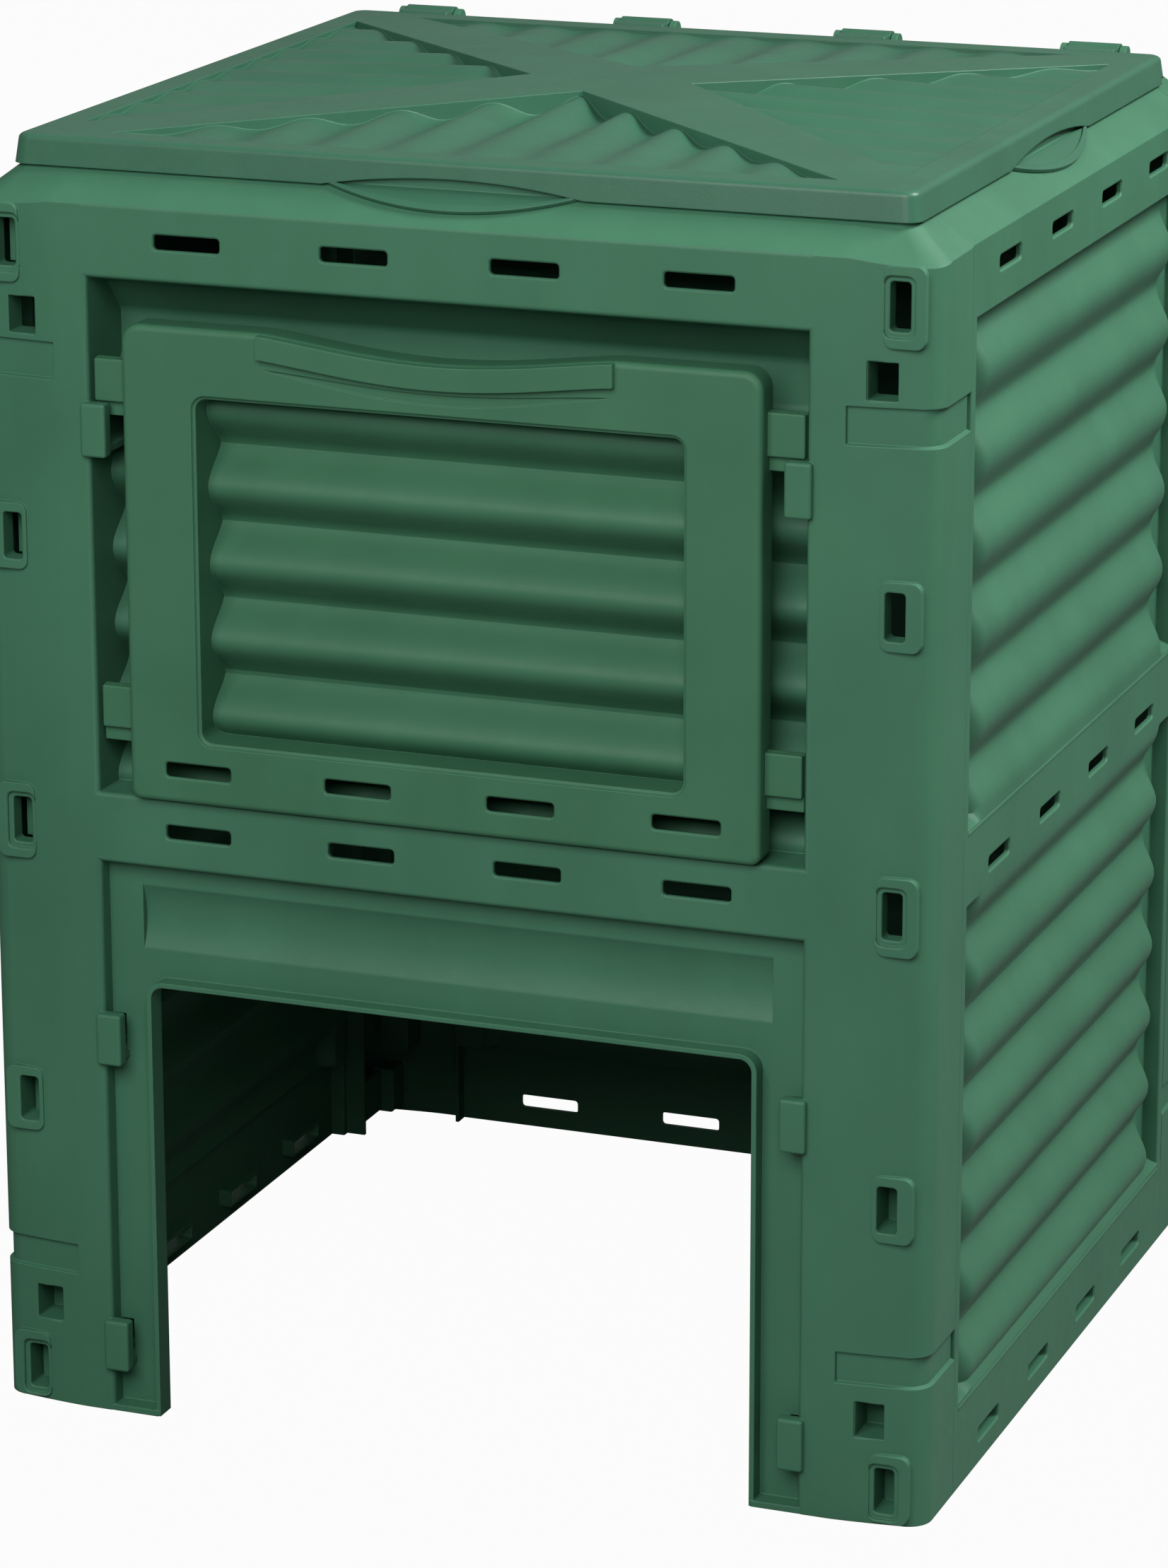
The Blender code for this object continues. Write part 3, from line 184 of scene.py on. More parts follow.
TAB_FRONT_SET_BACK = 0.0072
TAB_WALL = 0.0040
TAB_HEIGHT = 0.0355
TAB_STEP = 0.0040
TAB_UPPER_Z = 0.2337
TAB_LOWER_Z = 0.0315
CLIP_BITE = 0.0087
CLIP_HEIGHT = 0.0330
CLIP_WIDTH = 0.0164
CLIP_LAP = 0.0040
CLIP_PROUD = 0.0050
CLIP_WALL = 0.0095
CLIP_SHELF = 0.0045
CLIP_HOLE_WIDTH = 0.0085
CLIP_POCKET = 0.018
DOOR_DROP = 0.3845

# Lid
LID_OVERHANG = 0.0050
LID_WALL = 0.0030
LID_REAR_SET_BACK = 0.042
LID_SEAT_GAP = 0.0003
SKIRT_HEIGHT = 0.0142
SKIRT_DRAFT = 0.0020
REAR_SKIRT_CUT = 0.0040
LID_EDGE_RISE = 0.0035
BORDER_WIDTH = 0.0240
CROWN_RISE = 0.0105
LID_CORNER_R = 0.010
LID_LEAST_R = 0.003
BAND_CENTRE_WIDTH = 0.072
BAND_CORNER_WIDTH = 0.043
PANE_DROP = 0.0035
PANE_WAVE = 0.0130
PANE_WALL = 0.0025
PANE_PITCH = 0.045
BOW_STEPS = 40
GRIP_HALF = 0.082
GRIP_ARCH = 0.0072
GRIP_BOWL_DEPTH = 0.0014
TONGUE_LENGTH = 0.0170
TONGUE_WALL = 0.0026
TONGUE_GAP = 0.0004

# Lid hinge
HINGE_COUNT = 4
HINGE_PITCH = 0.155
KNUCKLE_WIDTH = 0.034
KNUCKLE_R = 0.0078
HINGE_BAR_R = 0.0035
HINGE_CLEARANCE = 0.0005
HINGE_SET_BACK = 0.0110
HINGE_RISE = 0.0120
LUG_WALL = 0.0045
LUG_SIDE_GAP = 0.0006
LUG_MARGIN = 0.0030
KNUCKLE_MOUTH = math.radians(120)
LEDGE_RUN = 0.0120

# Derived places
HALF_W = BODY_WIDTH / 2
HALF_D = BODY_DEPTH / 2
SEAM_Y = HALF_D - POST_FACE
RECESS_HALF = HALF_W - POST_FACE - STRIP_WIDTH
SHOULDER_TOP = WALL_HEIGHT + SHOULDER_RISE
LIP_TOP = SHOULDER_TOP + LIP_HEIGHT
INSET_X = HALF_W - SHOULDER_RUN
INSET_Y = HALF_D - SHOULDER_RUN
LID_HALF_X = INSET_X + LID_OVERHANG
LID_FRONT = -(INSET_Y + LID_OVERHANG)
LID_REAR = HALF_D - LID_REAR_SET_BACK
LID_CENTRE_Y = (LID_FRONT + LID_REAR) / 2
LID_HALF_Y = (LID_REAR - LID_FRONT) / 2
SLOPE = SHOULDER_RISE / SHOULDER_RUN
SEAT_DRAFT = LID_WALL * SKIRT_DRAFT / SKIRT_HEIGHT
SKIRT_BOTTOM = SHOULDER_TOP - (LID_OVERHANG - LID_WALL) * SLOPE + LID_SEAT_GAP + SEAT_DRAFT
SKIRT_TOP = SKIRT_BOTTOM + SKIRT_HEIGHT
BORDER_Z = SKIRT_TOP + LID_EDGE_RISE
CROWN_Z = BORDER_Z + CROWN_RISE
HINGE_Y = LID_REAR + HINGE_SET_BACK
HINGE_Z = SHOULDER_TOP + HINGE_RISE
DOOR_TOP = DOOR_BOTTOM + DOOR_HEIGHT
DOOR_FRONT = -(HALF_D + DOOR_PROUD)
CENTRE_SHIFT = (DOOR_PROUD + LIP_PROUD) / 2


def new_object(name, data):
    item = bpy.data.objects.new(name, data)
    bpy.context.scene.collection.objects.link(item)
    return item


def new_solid(name, shape):
    """Object from a bmesh, with its points on a fine lattice so that shared planes match exactly."""
    mesh = bpy.data.meshes.new(name)
    for vert in shape.verts:
        vert.co = [round(value, 6) for value in vert.co]
    shape.to_mesh(mesh)
    shape.free()
    return new_object(name, mesh)


def drop(item):
    mesh = item.data
    bpy.data.objects.remove(item, do_unlink=True)
    if mesh.users == 0:
        bpy.data.meshes.remove(mesh)


def evaluated_mesh(item):
    bpy.context.view_layer.update()
    graph = bpy.context.evaluated_depsgraph_get()
    return bpy.data.meshes.new_from_object(item.evaluated_get(graph))


def bake(item):
    """Turn an object's modifiers into plain mesh data."""
    mesh = evaluated_mesh(item)
    old = item.data
    item.modifiers.clear()
    item.data = mesh
    if old.users == 0:
        bpy.data.meshes.remove(old)
    return item


def round_edges(item, width, segments=2, angle=60):
    edge = item.modifiers.new("edge", "BEVEL")
    edge.width = width
    edge.segments = segments
    edge.limit_method = "ANGLE"
    edge.angle_limit = math.radians(angle)
    return bake(item)


def box(name, low, high, rounding=0.0):
    """Cube primitive between two opposite corners, with its edges rounded."""
    shape = bmesh.new()
    centre = [(a + b) / 2 for a, b in zip(low, high)]
    size = [abs(b - a) for a, b in zip(low, high)]
    place = Matrix.Translation(centre) @ Matrix.Diagonal((*size, 1.0))
    bmesh.ops.create_cube(shape, size=1.0, matrix=place)
    item = new_solid(name, shape)
    return round_edges(item, rounding, 3) if rounding else item


def rod(name, radius, start, end, segments=32):
    """Cylinder primitive between two points."""
    shape = bmesh.new()
    start = Vector(start)
    end = Vector(end)
    turn = (end - start).to_track_quat("Z", "Y").to_matrix().to_4x4()
    place = Matrix.Translation((start + end) / 2) @ turn
    bmesh.ops.create_cone(shape, cap_ends=True, segments=segments, radius1=radius, radius2=radius,
                          depth=(end - start).length, matrix=place)
    return new_solid(name, shape)


PLANES = {
    "XY": Matrix(((1, 0, 0), (0, 1, 0), (0, 0, 1))),
    "XZ": Matrix(((1, 0, 0), (0, 0, -1), (0, 1, 0))),
    "YZ": Matrix(((0, 0, 1), (1, 0, 0), (0, 1, 0))),
}
NORMAL_AXIS = {"XY": 2, "XZ": 1, "YZ": 0}


def on_plane(plane, u, v, w):
    """Point at (u, v) on a plane, w along the axis that crosses it."""
    if plane == "XY":
        return (u, v, w)
    if plane == "XZ":
        return (u, w, v)
    return (w, u, v)


def prism(name, outlines, plane, low, high):
    """Flat outline, with any inner outlines as holes, given a thickness along the third axis."""
    curve = bpy.data.curves.new(name, "CURVE")
    curve.dimensions = "2D"
    curve.fill_mode = "BOTH"
    curve.extrude = abs(high - low) / 2
    for outline in outlines:
        spline = curve.splines.new("POLY")
        spline.points.add(len(outline) - 1)
        for point, (u, v) in zip(spline.points, outline):
            point.co = (u, v, 0.0, 1.0)
        spline.use_cyclic_u = True
    flat = new_object(name + "_outline", curve)
    shift = Vector((0.0, 0.0, 0.0))
    shift[NORMAL_AXIS[plane]] = (low + high) / 2
    mesh = evaluated_mesh(flat)
    bpy.data.objects.remove(flat, do_unlink=True)
    bpy.data.curves.remove(curve)
    shape = bmesh.new()
    shape.from_mesh(mesh)
    bpy.data.meshes.remove(mesh)
    bmesh.ops.remove_doubles(shape, verts=shape.verts, dist=1e-6)
    bmesh.ops.transform(shape, matrix=Matrix.Translation(shift) @ PLANES[plane].to_4x4(), verts=shape.verts)
    bmesh.ops.recalc_face_normals(shape, faces=shape.faces)
    return new_solid(name, shape)


def skin(shape, rings):
    """Faces between successive rings of equal point counts."""
    loops = [[shape.verts.new(point) for point in ring] for ring in rings]
    for lower, upper in zip(loops, loops[1:]):
        for k in range(len(lower)):
            n = (k + 1) % len(lower)
            shape.faces.new((lower[k], lower[n], upper[n], upper[k]))
    return loops


def turn_outward(shape, outward):
    """Reverse an open surface whose faces look away from the outward side."""
    total = Vector((0.0, 0.0, 0.0))
    for face in shape.faces:
        face.normal_update()
        total += face.normal * face.calc_area()
    if total.dot(Vector(outward)) < 0.0:
        bmesh.ops.reverse_faces(shape, faces=shape.faces)


def loft(name, rings):
    """Closed solid through rings of equal point counts."""
    shape = bmesh.new()
    loops = skin(shape, rings)
    shape.faces.new(loops[0][::-1])
    shape.faces.new(loops[-1])
    bmesh.ops.recalc_face_normals(shape, faces=shape.faces)
    return new_solid(name, shape)


def plug(name, outline_of, plane, face, outside, far, flare, steps=3):
    """Cutter through a wall whose mouth at the face is flared with a round."""
    inward = 1.0 if far > face else -1.0
    turns = [math.pi / 2 * k / steps for k in range(steps + 1)]
    rings = [(outside, flare)]
    rings += [(face + inward * flare * math.sin(t) * FLARE_OVERLAP, flare * math.cos(t)) for t in turns]
    rings.append((far, 0.0))
    return loft(name, [[on_plane(plane, u, v, w) for u, v in outline_of(grow)] for w, grow in rings])


def sheet(name, rows, thickness, outward):
    """Grid primitive moved to rows of points, thickened away from the outward side."""
    count_v = len(rows)
    count_u = len(rows[0])
    shape = bmesh.new()
    bmesh.ops.create_grid(shape, x_segments=count_u - 1, y_segments=count_v - 1, size=1.0)
    for vert in shape.verts:
        u = round((vert.co.x + 1.0) / 2.0 * (count_u - 1))
        v = round((vert.co.y + 1.0) / 2.0 * (count_v - 1))
        vert.co = rows[v][u]
    turn_outward(shape, outward)
    return thicken(new_solid(name, shape), thickness)


def thicken(item, thickness):
    solid = item.modifiers.new("wall", "SOLIDIFY")
    solid.thickness = thickness
    solid.offset = -1.0
    solid.use_even_offset = True
    bake(item)
    for vert in item.data.vertices:
        vert.co = [round(value, 6) for value in vert.co]
    return item


def boolean(item, tool, operation, crossing=False):
    step = item.modifiers.new(operation.lower(), "BOOLEAN")
    step.operation = operation
    step.solver = "EXACT"
    step.use_self = crossing
    step.object = tool
    bake(item)
    drop(tool)
    return item


def join(item, *tools):
    for tool in tools:
        boolean(item, tool, "UNION")
    return item


def cut(item, *tools):
    for tool in tools:
        boolean(item, tool, "DIFFERENCE")
    return item


def mirror(item):
    """Keep the half on the +X side and repeat it on the other."""
    half = item.modifiers.new("halves", "MIRROR")
    half.use_axis[0] = True
    half.use_bisect_axis[0] = True
    half.merge_threshold = 1e-5
    return bake(item)


def trim_to_ground(item):
    """Cut every foot level with the ground."""
    return cut(item, box("ground", (-BODY_WIDTH, -BODY_WIDTH, -BODY_WIDTH), (BODY_WIDTH, BODY_WIDTH, 0.0)))


def group(name, tools):
    """Collect separate solids that don't touch into one tool."""
    shape = bmesh.new()
    for tool in tools:
        shape.from_mesh(tool.data)
        drop(tool)
    return new_solid(name, shape)


def arc(centre_u, centre_v, radius, start, end, steps):
    points = []
    for k in range(steps + 1):
        t = start + (end - start) * k / steps
        points.append((centre_u + radius * math.cos(t), centre_v + radius * math.sin(t)))
    return points


def rounded_box(centre_u, centre_v, width, height, radius, steps=4):
    """Rectangle with round corners, as an outline."""
    a = width / 2 - radius
    b = height / 2 - radius
    points = []
    for u, v, start in ((a, b, 0.0), (-a, b, 0.5), (-a, -b, 1.0), (a, -b, 1.5)):
        points += arc(centre_u + u, centre_v + v, radius, start * math.pi, (start + 0.5) * math.pi, steps)
    return points


def growing_box(centre_u, centre_v, width, height, radius, steps=4):
    """Rectangle with round corners as a function of how far it is grown."""
    return lambda grow: rounded_box(centre_u, centre_v, width + 2 * grow, height + 2 * grow,
                                    radius + grow, steps)


def fillet(points, radii, steps=5):
    """Open line of points with the given corners rounded."""
    line = [points[0]]
    for k in range(1, len(points) - 1):
        corner = Vector(points[k])
        before = Vector(points[k - 1]) - corner
        after = Vector(points[k + 1]) - corner
        radius = radii[k]
        turn = math.pi - before.angle(after, 0.0)
        if radius <= 0.0 or turn < 0.05:
            line.append(points[k])
            continue
        reach = min(radius * math.tan(turn / 2), 0.45 * before.length, 0.45 * after.length)
        radius = reach / math.tan(turn / 2)
        middle = (before.normalized() + after.normalized()).normalized()
        centre = corner + middle * (radius / math.cos(turn / 2))
        start = corner + before.normalized() * reach - centre
        end = corner + after.normalized() * reach - centre
        sweep = start.angle_signed(end)
        for i in range(steps + 1):
            t = -sweep * i / steps
            cos, sin = math.cos(t), math.sin(t)
            line.append(tuple(centre + Vector((start.x * cos - start.y * sin, start.x * sin + start.y * cos))))
    line.append(points[-1])
    return line


def offset_line(points, distance):
    """The same open line moved sideways by a distance, to the left of its direction."""
    moved = []
    for k, point in enumerate(points):
        here = Vector(point)
        sides = []
        if k > 0:
            sides.append((here - Vector(points[k - 1])).normalized())
        if k < len(points) - 1:
            sides.append((Vector(points[k + 1]) - here).normalized())
        normals = [Vector((-side.y, side.x)) for side in sides]
        total = sum(normals, Vector((0.0, 0.0)))
        total.normalize()
        share = max(0.35, total.dot(normals[0]))
        moved.append(tuple(here + total * (distance / share)))
    return moved


def crest(z, first, pitch):
    """Height share of a broad-topped wave, one at a crest and nought in a trough."""
    return (0.5 + 0.5 * math.cos(2 * math.pi * (z - first) / pitch)) ** 0.75


def wave_heights(low, high, pitch):
    steps = max(2, round((high - low) / pitch * WAVE_STEPS))
    return [low + (high - low) * k / steps for k in range(steps + 1)]


def wall_profile():
    """Depth, height and how much of the depth is wave, from the ground to the shoulder."""
    rows = [(0.0, z, 0.0) for z in (-FOOT_DROP * 0.5, LOW_BAND_TOP - BAND_EASE, LOW_BAND_TOP)]
    fields = ((LOW_BAND_TOP, MID_BAND_BOTTOM, MID_BAND_TOP, LOW_WAVE_FIRST, LOW_WAVE_PITCH),
              (MID_BAND_TOP, TOP_BAND_BOTTOM, WALL_HEIGHT, UPPER_WAVE_FIRST, UPPER_WAVE_PITCH))
    for low, high, band_top, first, pitch in fields:
        for z in wave_heights(low + BAND_EASE, high - BAND_EASE, pitch):
            rows.append((None, z, crest(z, first, pitch)))
        rows += [(0.0, z, 0.0) for z in (high, high + BAND_EASE, band_top - BAND_EASE, band_top)]
    return rows + [(SHOULDER_RUN, SHOULDER_TOP, 0.0)]


def corrugated_wall(name, half_length, channel_start, place, outward, lip):
    """Banded and waved wall whose crests end in round noses before both of its ends."""
    inner = channel_start - CHANNEL_WIDTH
    stations = [(half_length, 0.0), (inner + 0.002, 0.0)]
    for k in range(7):
        t = k / 6
        stations.append((inner - CREST_RUNOUT * t, math.sin(math.pi / 2 * t) ** 0.9))
    stations.append((inner - CREST_RUNOUT * 1.6, 1.0))
    stations = [(-u, share) for u, share in stations] + [(u, share) for u, share in reversed(stations)]
    rows = []
    profile = wall_profile()
    if lip:
        profile = profile + [(SHOULDER_RUN, LIP_TOP, 0.0)]
    for depth, z, share in profile:
        row = []
        for u, fullness in stations:
            inward = depth if depth is not None else WAVE_DEPTH * (1.0 - share * fullness)
            row.append(place(u, inward, z))
        rows.append(row)
    return sheet(name, rows, WALL, outward)


def vent_places(pitch, heights):
    return [((k - (VENT_COUNT - 1) / 2) * pitch, z) for z in heights for k in range(VENT_COUNT)]


def sleeve_outline(u, v, width, height):
    return rounded_box(u, v, width + 2 * SLEEVE_WALL, height + 2 * SLEEVE_WALL, VENT_CORNER)


def vent_sleeves(plane, pitch, heights, face, depth):
    """Short collars behind the ventilation slots."""
    outlines = [sleeve_outline(u, z, VENT_WIDTH, VENT_HEIGHT) for u, z in vent_places(pitch, heights)]
    return group("collars", [prism("collar", [outline], plane, face, depth) for outline in outlines])


def vent_cutters(plane, pitch, heights, face, outside, far):
    vents = [growing_box(u, z, VENT_WIDTH, VENT_HEIGHT, VENT_CORNER) for u, z in vent_places(pitch, heights)]
    return group("vents", [plug("vent", vent, plane, face, outside, far, VENT_FLARE) for vent in vents])


def post_outline(recess_depth):
    """Plan of a right-hand post from inside the recess round to the seam flange."""
    face_start = HALF_W - POST_FACE
    face_end = HALF_W - POST_CORNER_R
    front = -HALF_D + HAIR
    edge = [(RECESS_HALF, -HALF_D + recess_depth + WALL), (RECESS_HALF, -HALF_D + recess_depth * 0.5),
            (RECESS_HALF, front), (face_start, front)]
    line = [(point, "plain") for point in fillet(edge, [0.0, 0.0, EDGE_R, 0.0])]
    span = face_end - face_start
    starts = [STRAP_START * 0.5, STRAP_START, STRAP_START + STRAP_DRAFT]
    for x in [face_start + s for s in starts] + [face_start + span * k / 10 for k in range(3, 11)]:
        t = (x - face_start) / span
        kind = "sunk" if x > face_start + STRAP_START + STRAP_DRAFT * 0.5 else "plain"
        line.append(((x, front + POST_TILT * t ** 1.4), kind))
    corner = arc(face_end, front + POST_TILT + POST_CORNER_R, POST_CORNER_R, -math.pi / 2, 0.0, 12)
    line += [(point, "sunk") for point in corner[1:] + [(HALF_W, -SEAM_Y - EDGE_R), (HALF_W, -SEAM_Y)]]
    line.append(((HALF_W - SEAM_FLANGE, -SEAM_Y), "flange"))
    return zip(*line)


def outline_normals(points):
    normals = []
    for k in range(len(points)):
        a = Vector(points[max(0, k - 1)])
        b = Vector(points[min(len(points) - 1, k + 1)])
        along = (b - a).normalized()
        normals.append((along.y, -along.x))
    return normals


def shoulder_point(x, y, kind):
    """Where a post point goes on the inset line above the shoulder."""
    corner = LID_CORNER_R * 0.8
    front = -HALF_D + HAIR
    if kind == "flange":
        return (INSET_X - SEAM_FLANGE * 0.6, -SEAM_Y)
    if x <= RECESS_HALF + 1e-6:
        return (RECESS_HALF, -INSET_Y + (y - front) * 0.35)
    if y <= front + EDGE_R * 1.01 and x < RECESS_HALF + EDGE_R * 1.01:
        return (x, -INSET_Y + (y - front) * 0.35)
    if x > HALF_W - POST_CORNER_R * 1.001 and y > front + POST_TILT * 0.999:
        t = min(1.0, (y - front - POST_TILT) / POST_CORNER_R)
        angle = -math.pi / 2 + t * math.pi / 2
        nx = INSET_X - corner + corner * math.cos(angle)
        ny = -INSET_Y + corner + corner * math.sin(angle)
        return (nx, max(ny, y) if t >= 1.0 else ny)
    share = (x - RECESS_HALF) / (HALF_W - POST_CORNER_R - RECESS_HALF)
    return (RECESS_HALF + share * (INSET_X - corner - RECESS_HALF), -INSET_Y)


def post(front, recess_depth, lip):
    """Right-hand corner post with strap grooves, raised bosses, sleeved slots and seam flange."""
    points, kinds = post_outline(recess_depth)
    normals = outline_normals(points)

    def at(x, y, z):
        return (x, front * y, z)

    face = [k for k, kind in enumerate(kinds) if kind == "sunk"]

    def ring(z, depth, arch=0.0):
        row = []
        low = z
        for k, ((x, y), (nx, ny), kind) in enumerate(zip(points, normals, kinds)):
            if kind == "sunk":
                z = low - arch * math.sin(math.pi * (k - face[0]) / (face[-1] - face[0])) ** 0.7
                inward = (min(nx, 0.9), ny) if y > -SEAM_Y - EDGE_R * 1.5 else (nx, ny)
                if y > -SEAM_Y - 1e-6:
                    inward = (1.0, 0.0)
                x, y = x - inward[0] * depth, y - inward[1] * depth
            else:
                z = low
            row.append(at(x, y, z))
        return row

    rows = [ring(-FOOT_DROP, 0.0), ring(0.002, 0.0)]
    for low, height in STRAPS:
        rows += [ring(low - STRAP_DRAFT, 0.0), ring(low, 0.0), ring(low + STRAP_DRAFT, STRAP_DEPTH)]
        rows += [ring(low + height - STRAP_DRAFT, STRAP_DEPTH), ring(low + height, 0.0)]
        rows.append(ring(low + height + STRAP_DRAFT, 0.0))
    rows += [ring(WALL_HEIGHT - 0.003, 0.0, POST_ARCH), ring(WALL_HEIGHT, 0.0, POST_ARCH)]
    inner = [shoulder_point(x, y, kind) for (x, y), kind in zip(points, kinds)]
    rows.append([at(x, y, SHOULDER_TOP) for x, y in inner])
    if lip:
        rows.append([at(x, y, LIP_TOP) for x, y in inner])
    item = sheet("post", rows, SKIN, (1.0, -front, 0.0))

    def behind(depth):
        return -front * HALF_D + front * depth

    def sleeve(outline, end):
        return prism("sleeve", [outline], "XZ", behind(POST_TILT * 0.9), behind(end))

    def mouth(name, outline, near, outside, far, flare):
        return plug(name, outline, "XZ", behind(near), behind(-outside), behind(far), flare)

    x = HALF_W - HOOK_INSET
    pad_x = x + (HOOK_PAD_WIDTH - HOOK_SINK_WIDTH) / 2
    solids = []
    sleeves = []
    cuts = []
    for z in HOOK_TALL_Z + HOOK_SMALL_Z:
        tall = z in HOOK_TALL_Z
        high = (HOOK_SINK_HEIGHT if tall else HOOK_SLOT_HEIGHT) + 2 * HOOK_PAD_MARGIN
        low_z = max(z - high / 2, HOOK_PAD_FOOT)
        high_z = min(z + high / 2, WALL_HEIGHT - HOOK_PAD_FOOT)
        pad = rounded_box(pad_x, (low_z + high_z) / 2, HOOK_PAD_WIDTH, high_z - low_z, HOOK_PAD_MARGIN * 0.9)
        solid = prism("boss", [pad], "XZ", behind(HOOK_PAD_BACK), behind(POST_TILT + SKIN * 0.6))
        solids.append(round_edges(solid, PAD_EDGE_R))
        blind = z < BLIND_BELOW
        sleeves.append(sleeve(sleeve_outline(x, z, HOOK_SLOT_WIDTH, HOOK_SLOT_HEIGHT),
                              BLIND_DEPTH if blind else HOOK_SLEEVE_DEPTH))
        hole_end = BLIND_DEPTH - SLEEVE_WALL if blind else HOOK_SLEEVE_DEPTH + WALL
        sink_end = HOOK_PAD_BACK + HOOK_SINK_DEPTH
        slot = growing_box(x, z, HOOK_SLOT_WIDTH, HOOK_SLOT_HEIGHT, VENT_CORNER)
        cuts.append(mouth("hole", slot, sink_end if tall else HOOK_PAD_BACK, WALL, hole_end, SLOT_FLARE))
        if tall:
            sink = growing_box(x, z, HOOK_SINK_WIDTH, HOOK_SINK_HEIGHT, VENT_CORNER * 1.8)
            cuts.append(mouth("sink", sink, HOOK_PAD_BACK, 2 * WALL, sink_end, SINK_FLARE))
    for z in SQUARE_Z:
        square = growing_box(HALF_W - SQUARE_INSET, z, SQUARE_WIDTH, SQUARE_HEIGHT, SQUARE_CORNER)
        blind = z < BLIND_BELOW
        end = BLIND_DEPTH + SLEEVE_WALL if blind else SQUARE_SLEEVE_DEPTH
        sleeves.append(sleeve(square(SLEEVE_WALL), end))
        hole_end = BLIND_DEPTH if blind else SQUARE_SLEEVE_DEPTH + WALL
        cuts.append(mouth("square", square, POST_TILT * 0.4, WALL, hole_end, SQUARE_FLARE))
    join(item, group("pads", solids), group("sleeves", sleeves))
    return cut(item, *cuts)


def front_panel_core(past, reach):
    """Middle of the front panel: shoulder, bands, waved upper recess and flat lower recess."""
    section = [(RECESS_DEPTH, -FOOT_DROP * 0.5, 0.0), (RECESS_DEPTH, FRONT_BAND_BOTTOM, EDGE_R),
               (0.0, FRONT_BAND_BOTTOM, EDGE_R), (0.0, FRONT_BAND_TOP, EDGE_R)]
    swing = FRONT_WAVE_FAR - FRONT_WAVE_NEAR
    last_trough = FRONT_WAVE_FIRST + (FRONT_WAVE_COUNT + 0.5) * FRONT_WAVE_PITCH
    for z in wave_heights(FRONT_BAND_TOP, last_trough, FRONT_WAVE_PITCH):
        section.append((FRONT_WAVE_FAR - swing * crest(z, FRONT_WAVE_FIRST, FRONT_WAVE_PITCH), z, 0.0))
    section += [(FRONT_WAVE_FAR, RECESS_TOP - COVE_HEIGHT, COVE_R),
                (FRONT_WAVE_NEAR, RECESS_TOP - COVE_LIP, COVE_R), (0.0, RECESS_TOP, EDGE_R),
                (0.0, WALL_HEIGHT, EDGE_R), (SHOULDER_RUN, SHOULDER_TOP, LIP_ROOT_R),
                (SHOULDER_RUN, LIP_TOP, 0.0)]
    line = [(-HALF_D + depth, z) for depth, z, radius in section]
    outer = fillet(line, [radius for depth, z, radius in section])
    inner = offset_line(line, -WALL)
    return prism("front_panel_shell", [outer + inner[::-1]], "YZ", past, reach)


def opening_outline(grow, low=0.0):
    """Arch of the lower opening, grown outward by a given amount."""
    half = OPENING_HALF + grow
    top = OPENING_TOP + grow
    radius = OPENING_CORNER + grow
    points = [(half, low)]
    points += arc(half - radius, top - radius, radius, 0.0, math.pi / 2, 8)
    points += arc(-half + radius, top - radius, radius, math.pi / 2, math.pi, 8)
    points.append((-half, low))
    return points


def clip_tops():
    """Clip heights, taken from where the door's tabs hang."""
    upper_tab = DOOR_BOTTOM + TAB_UPPER_Z
    lower_tab = DOOR_BOTTOM + TAB_LOWER_Z
    return [upper_tab + CLIP_BITE, upper_tab - DOOR_DROP + CLIP_BITE, lower_tab - DOOR_DROP + CLIP_BITE]


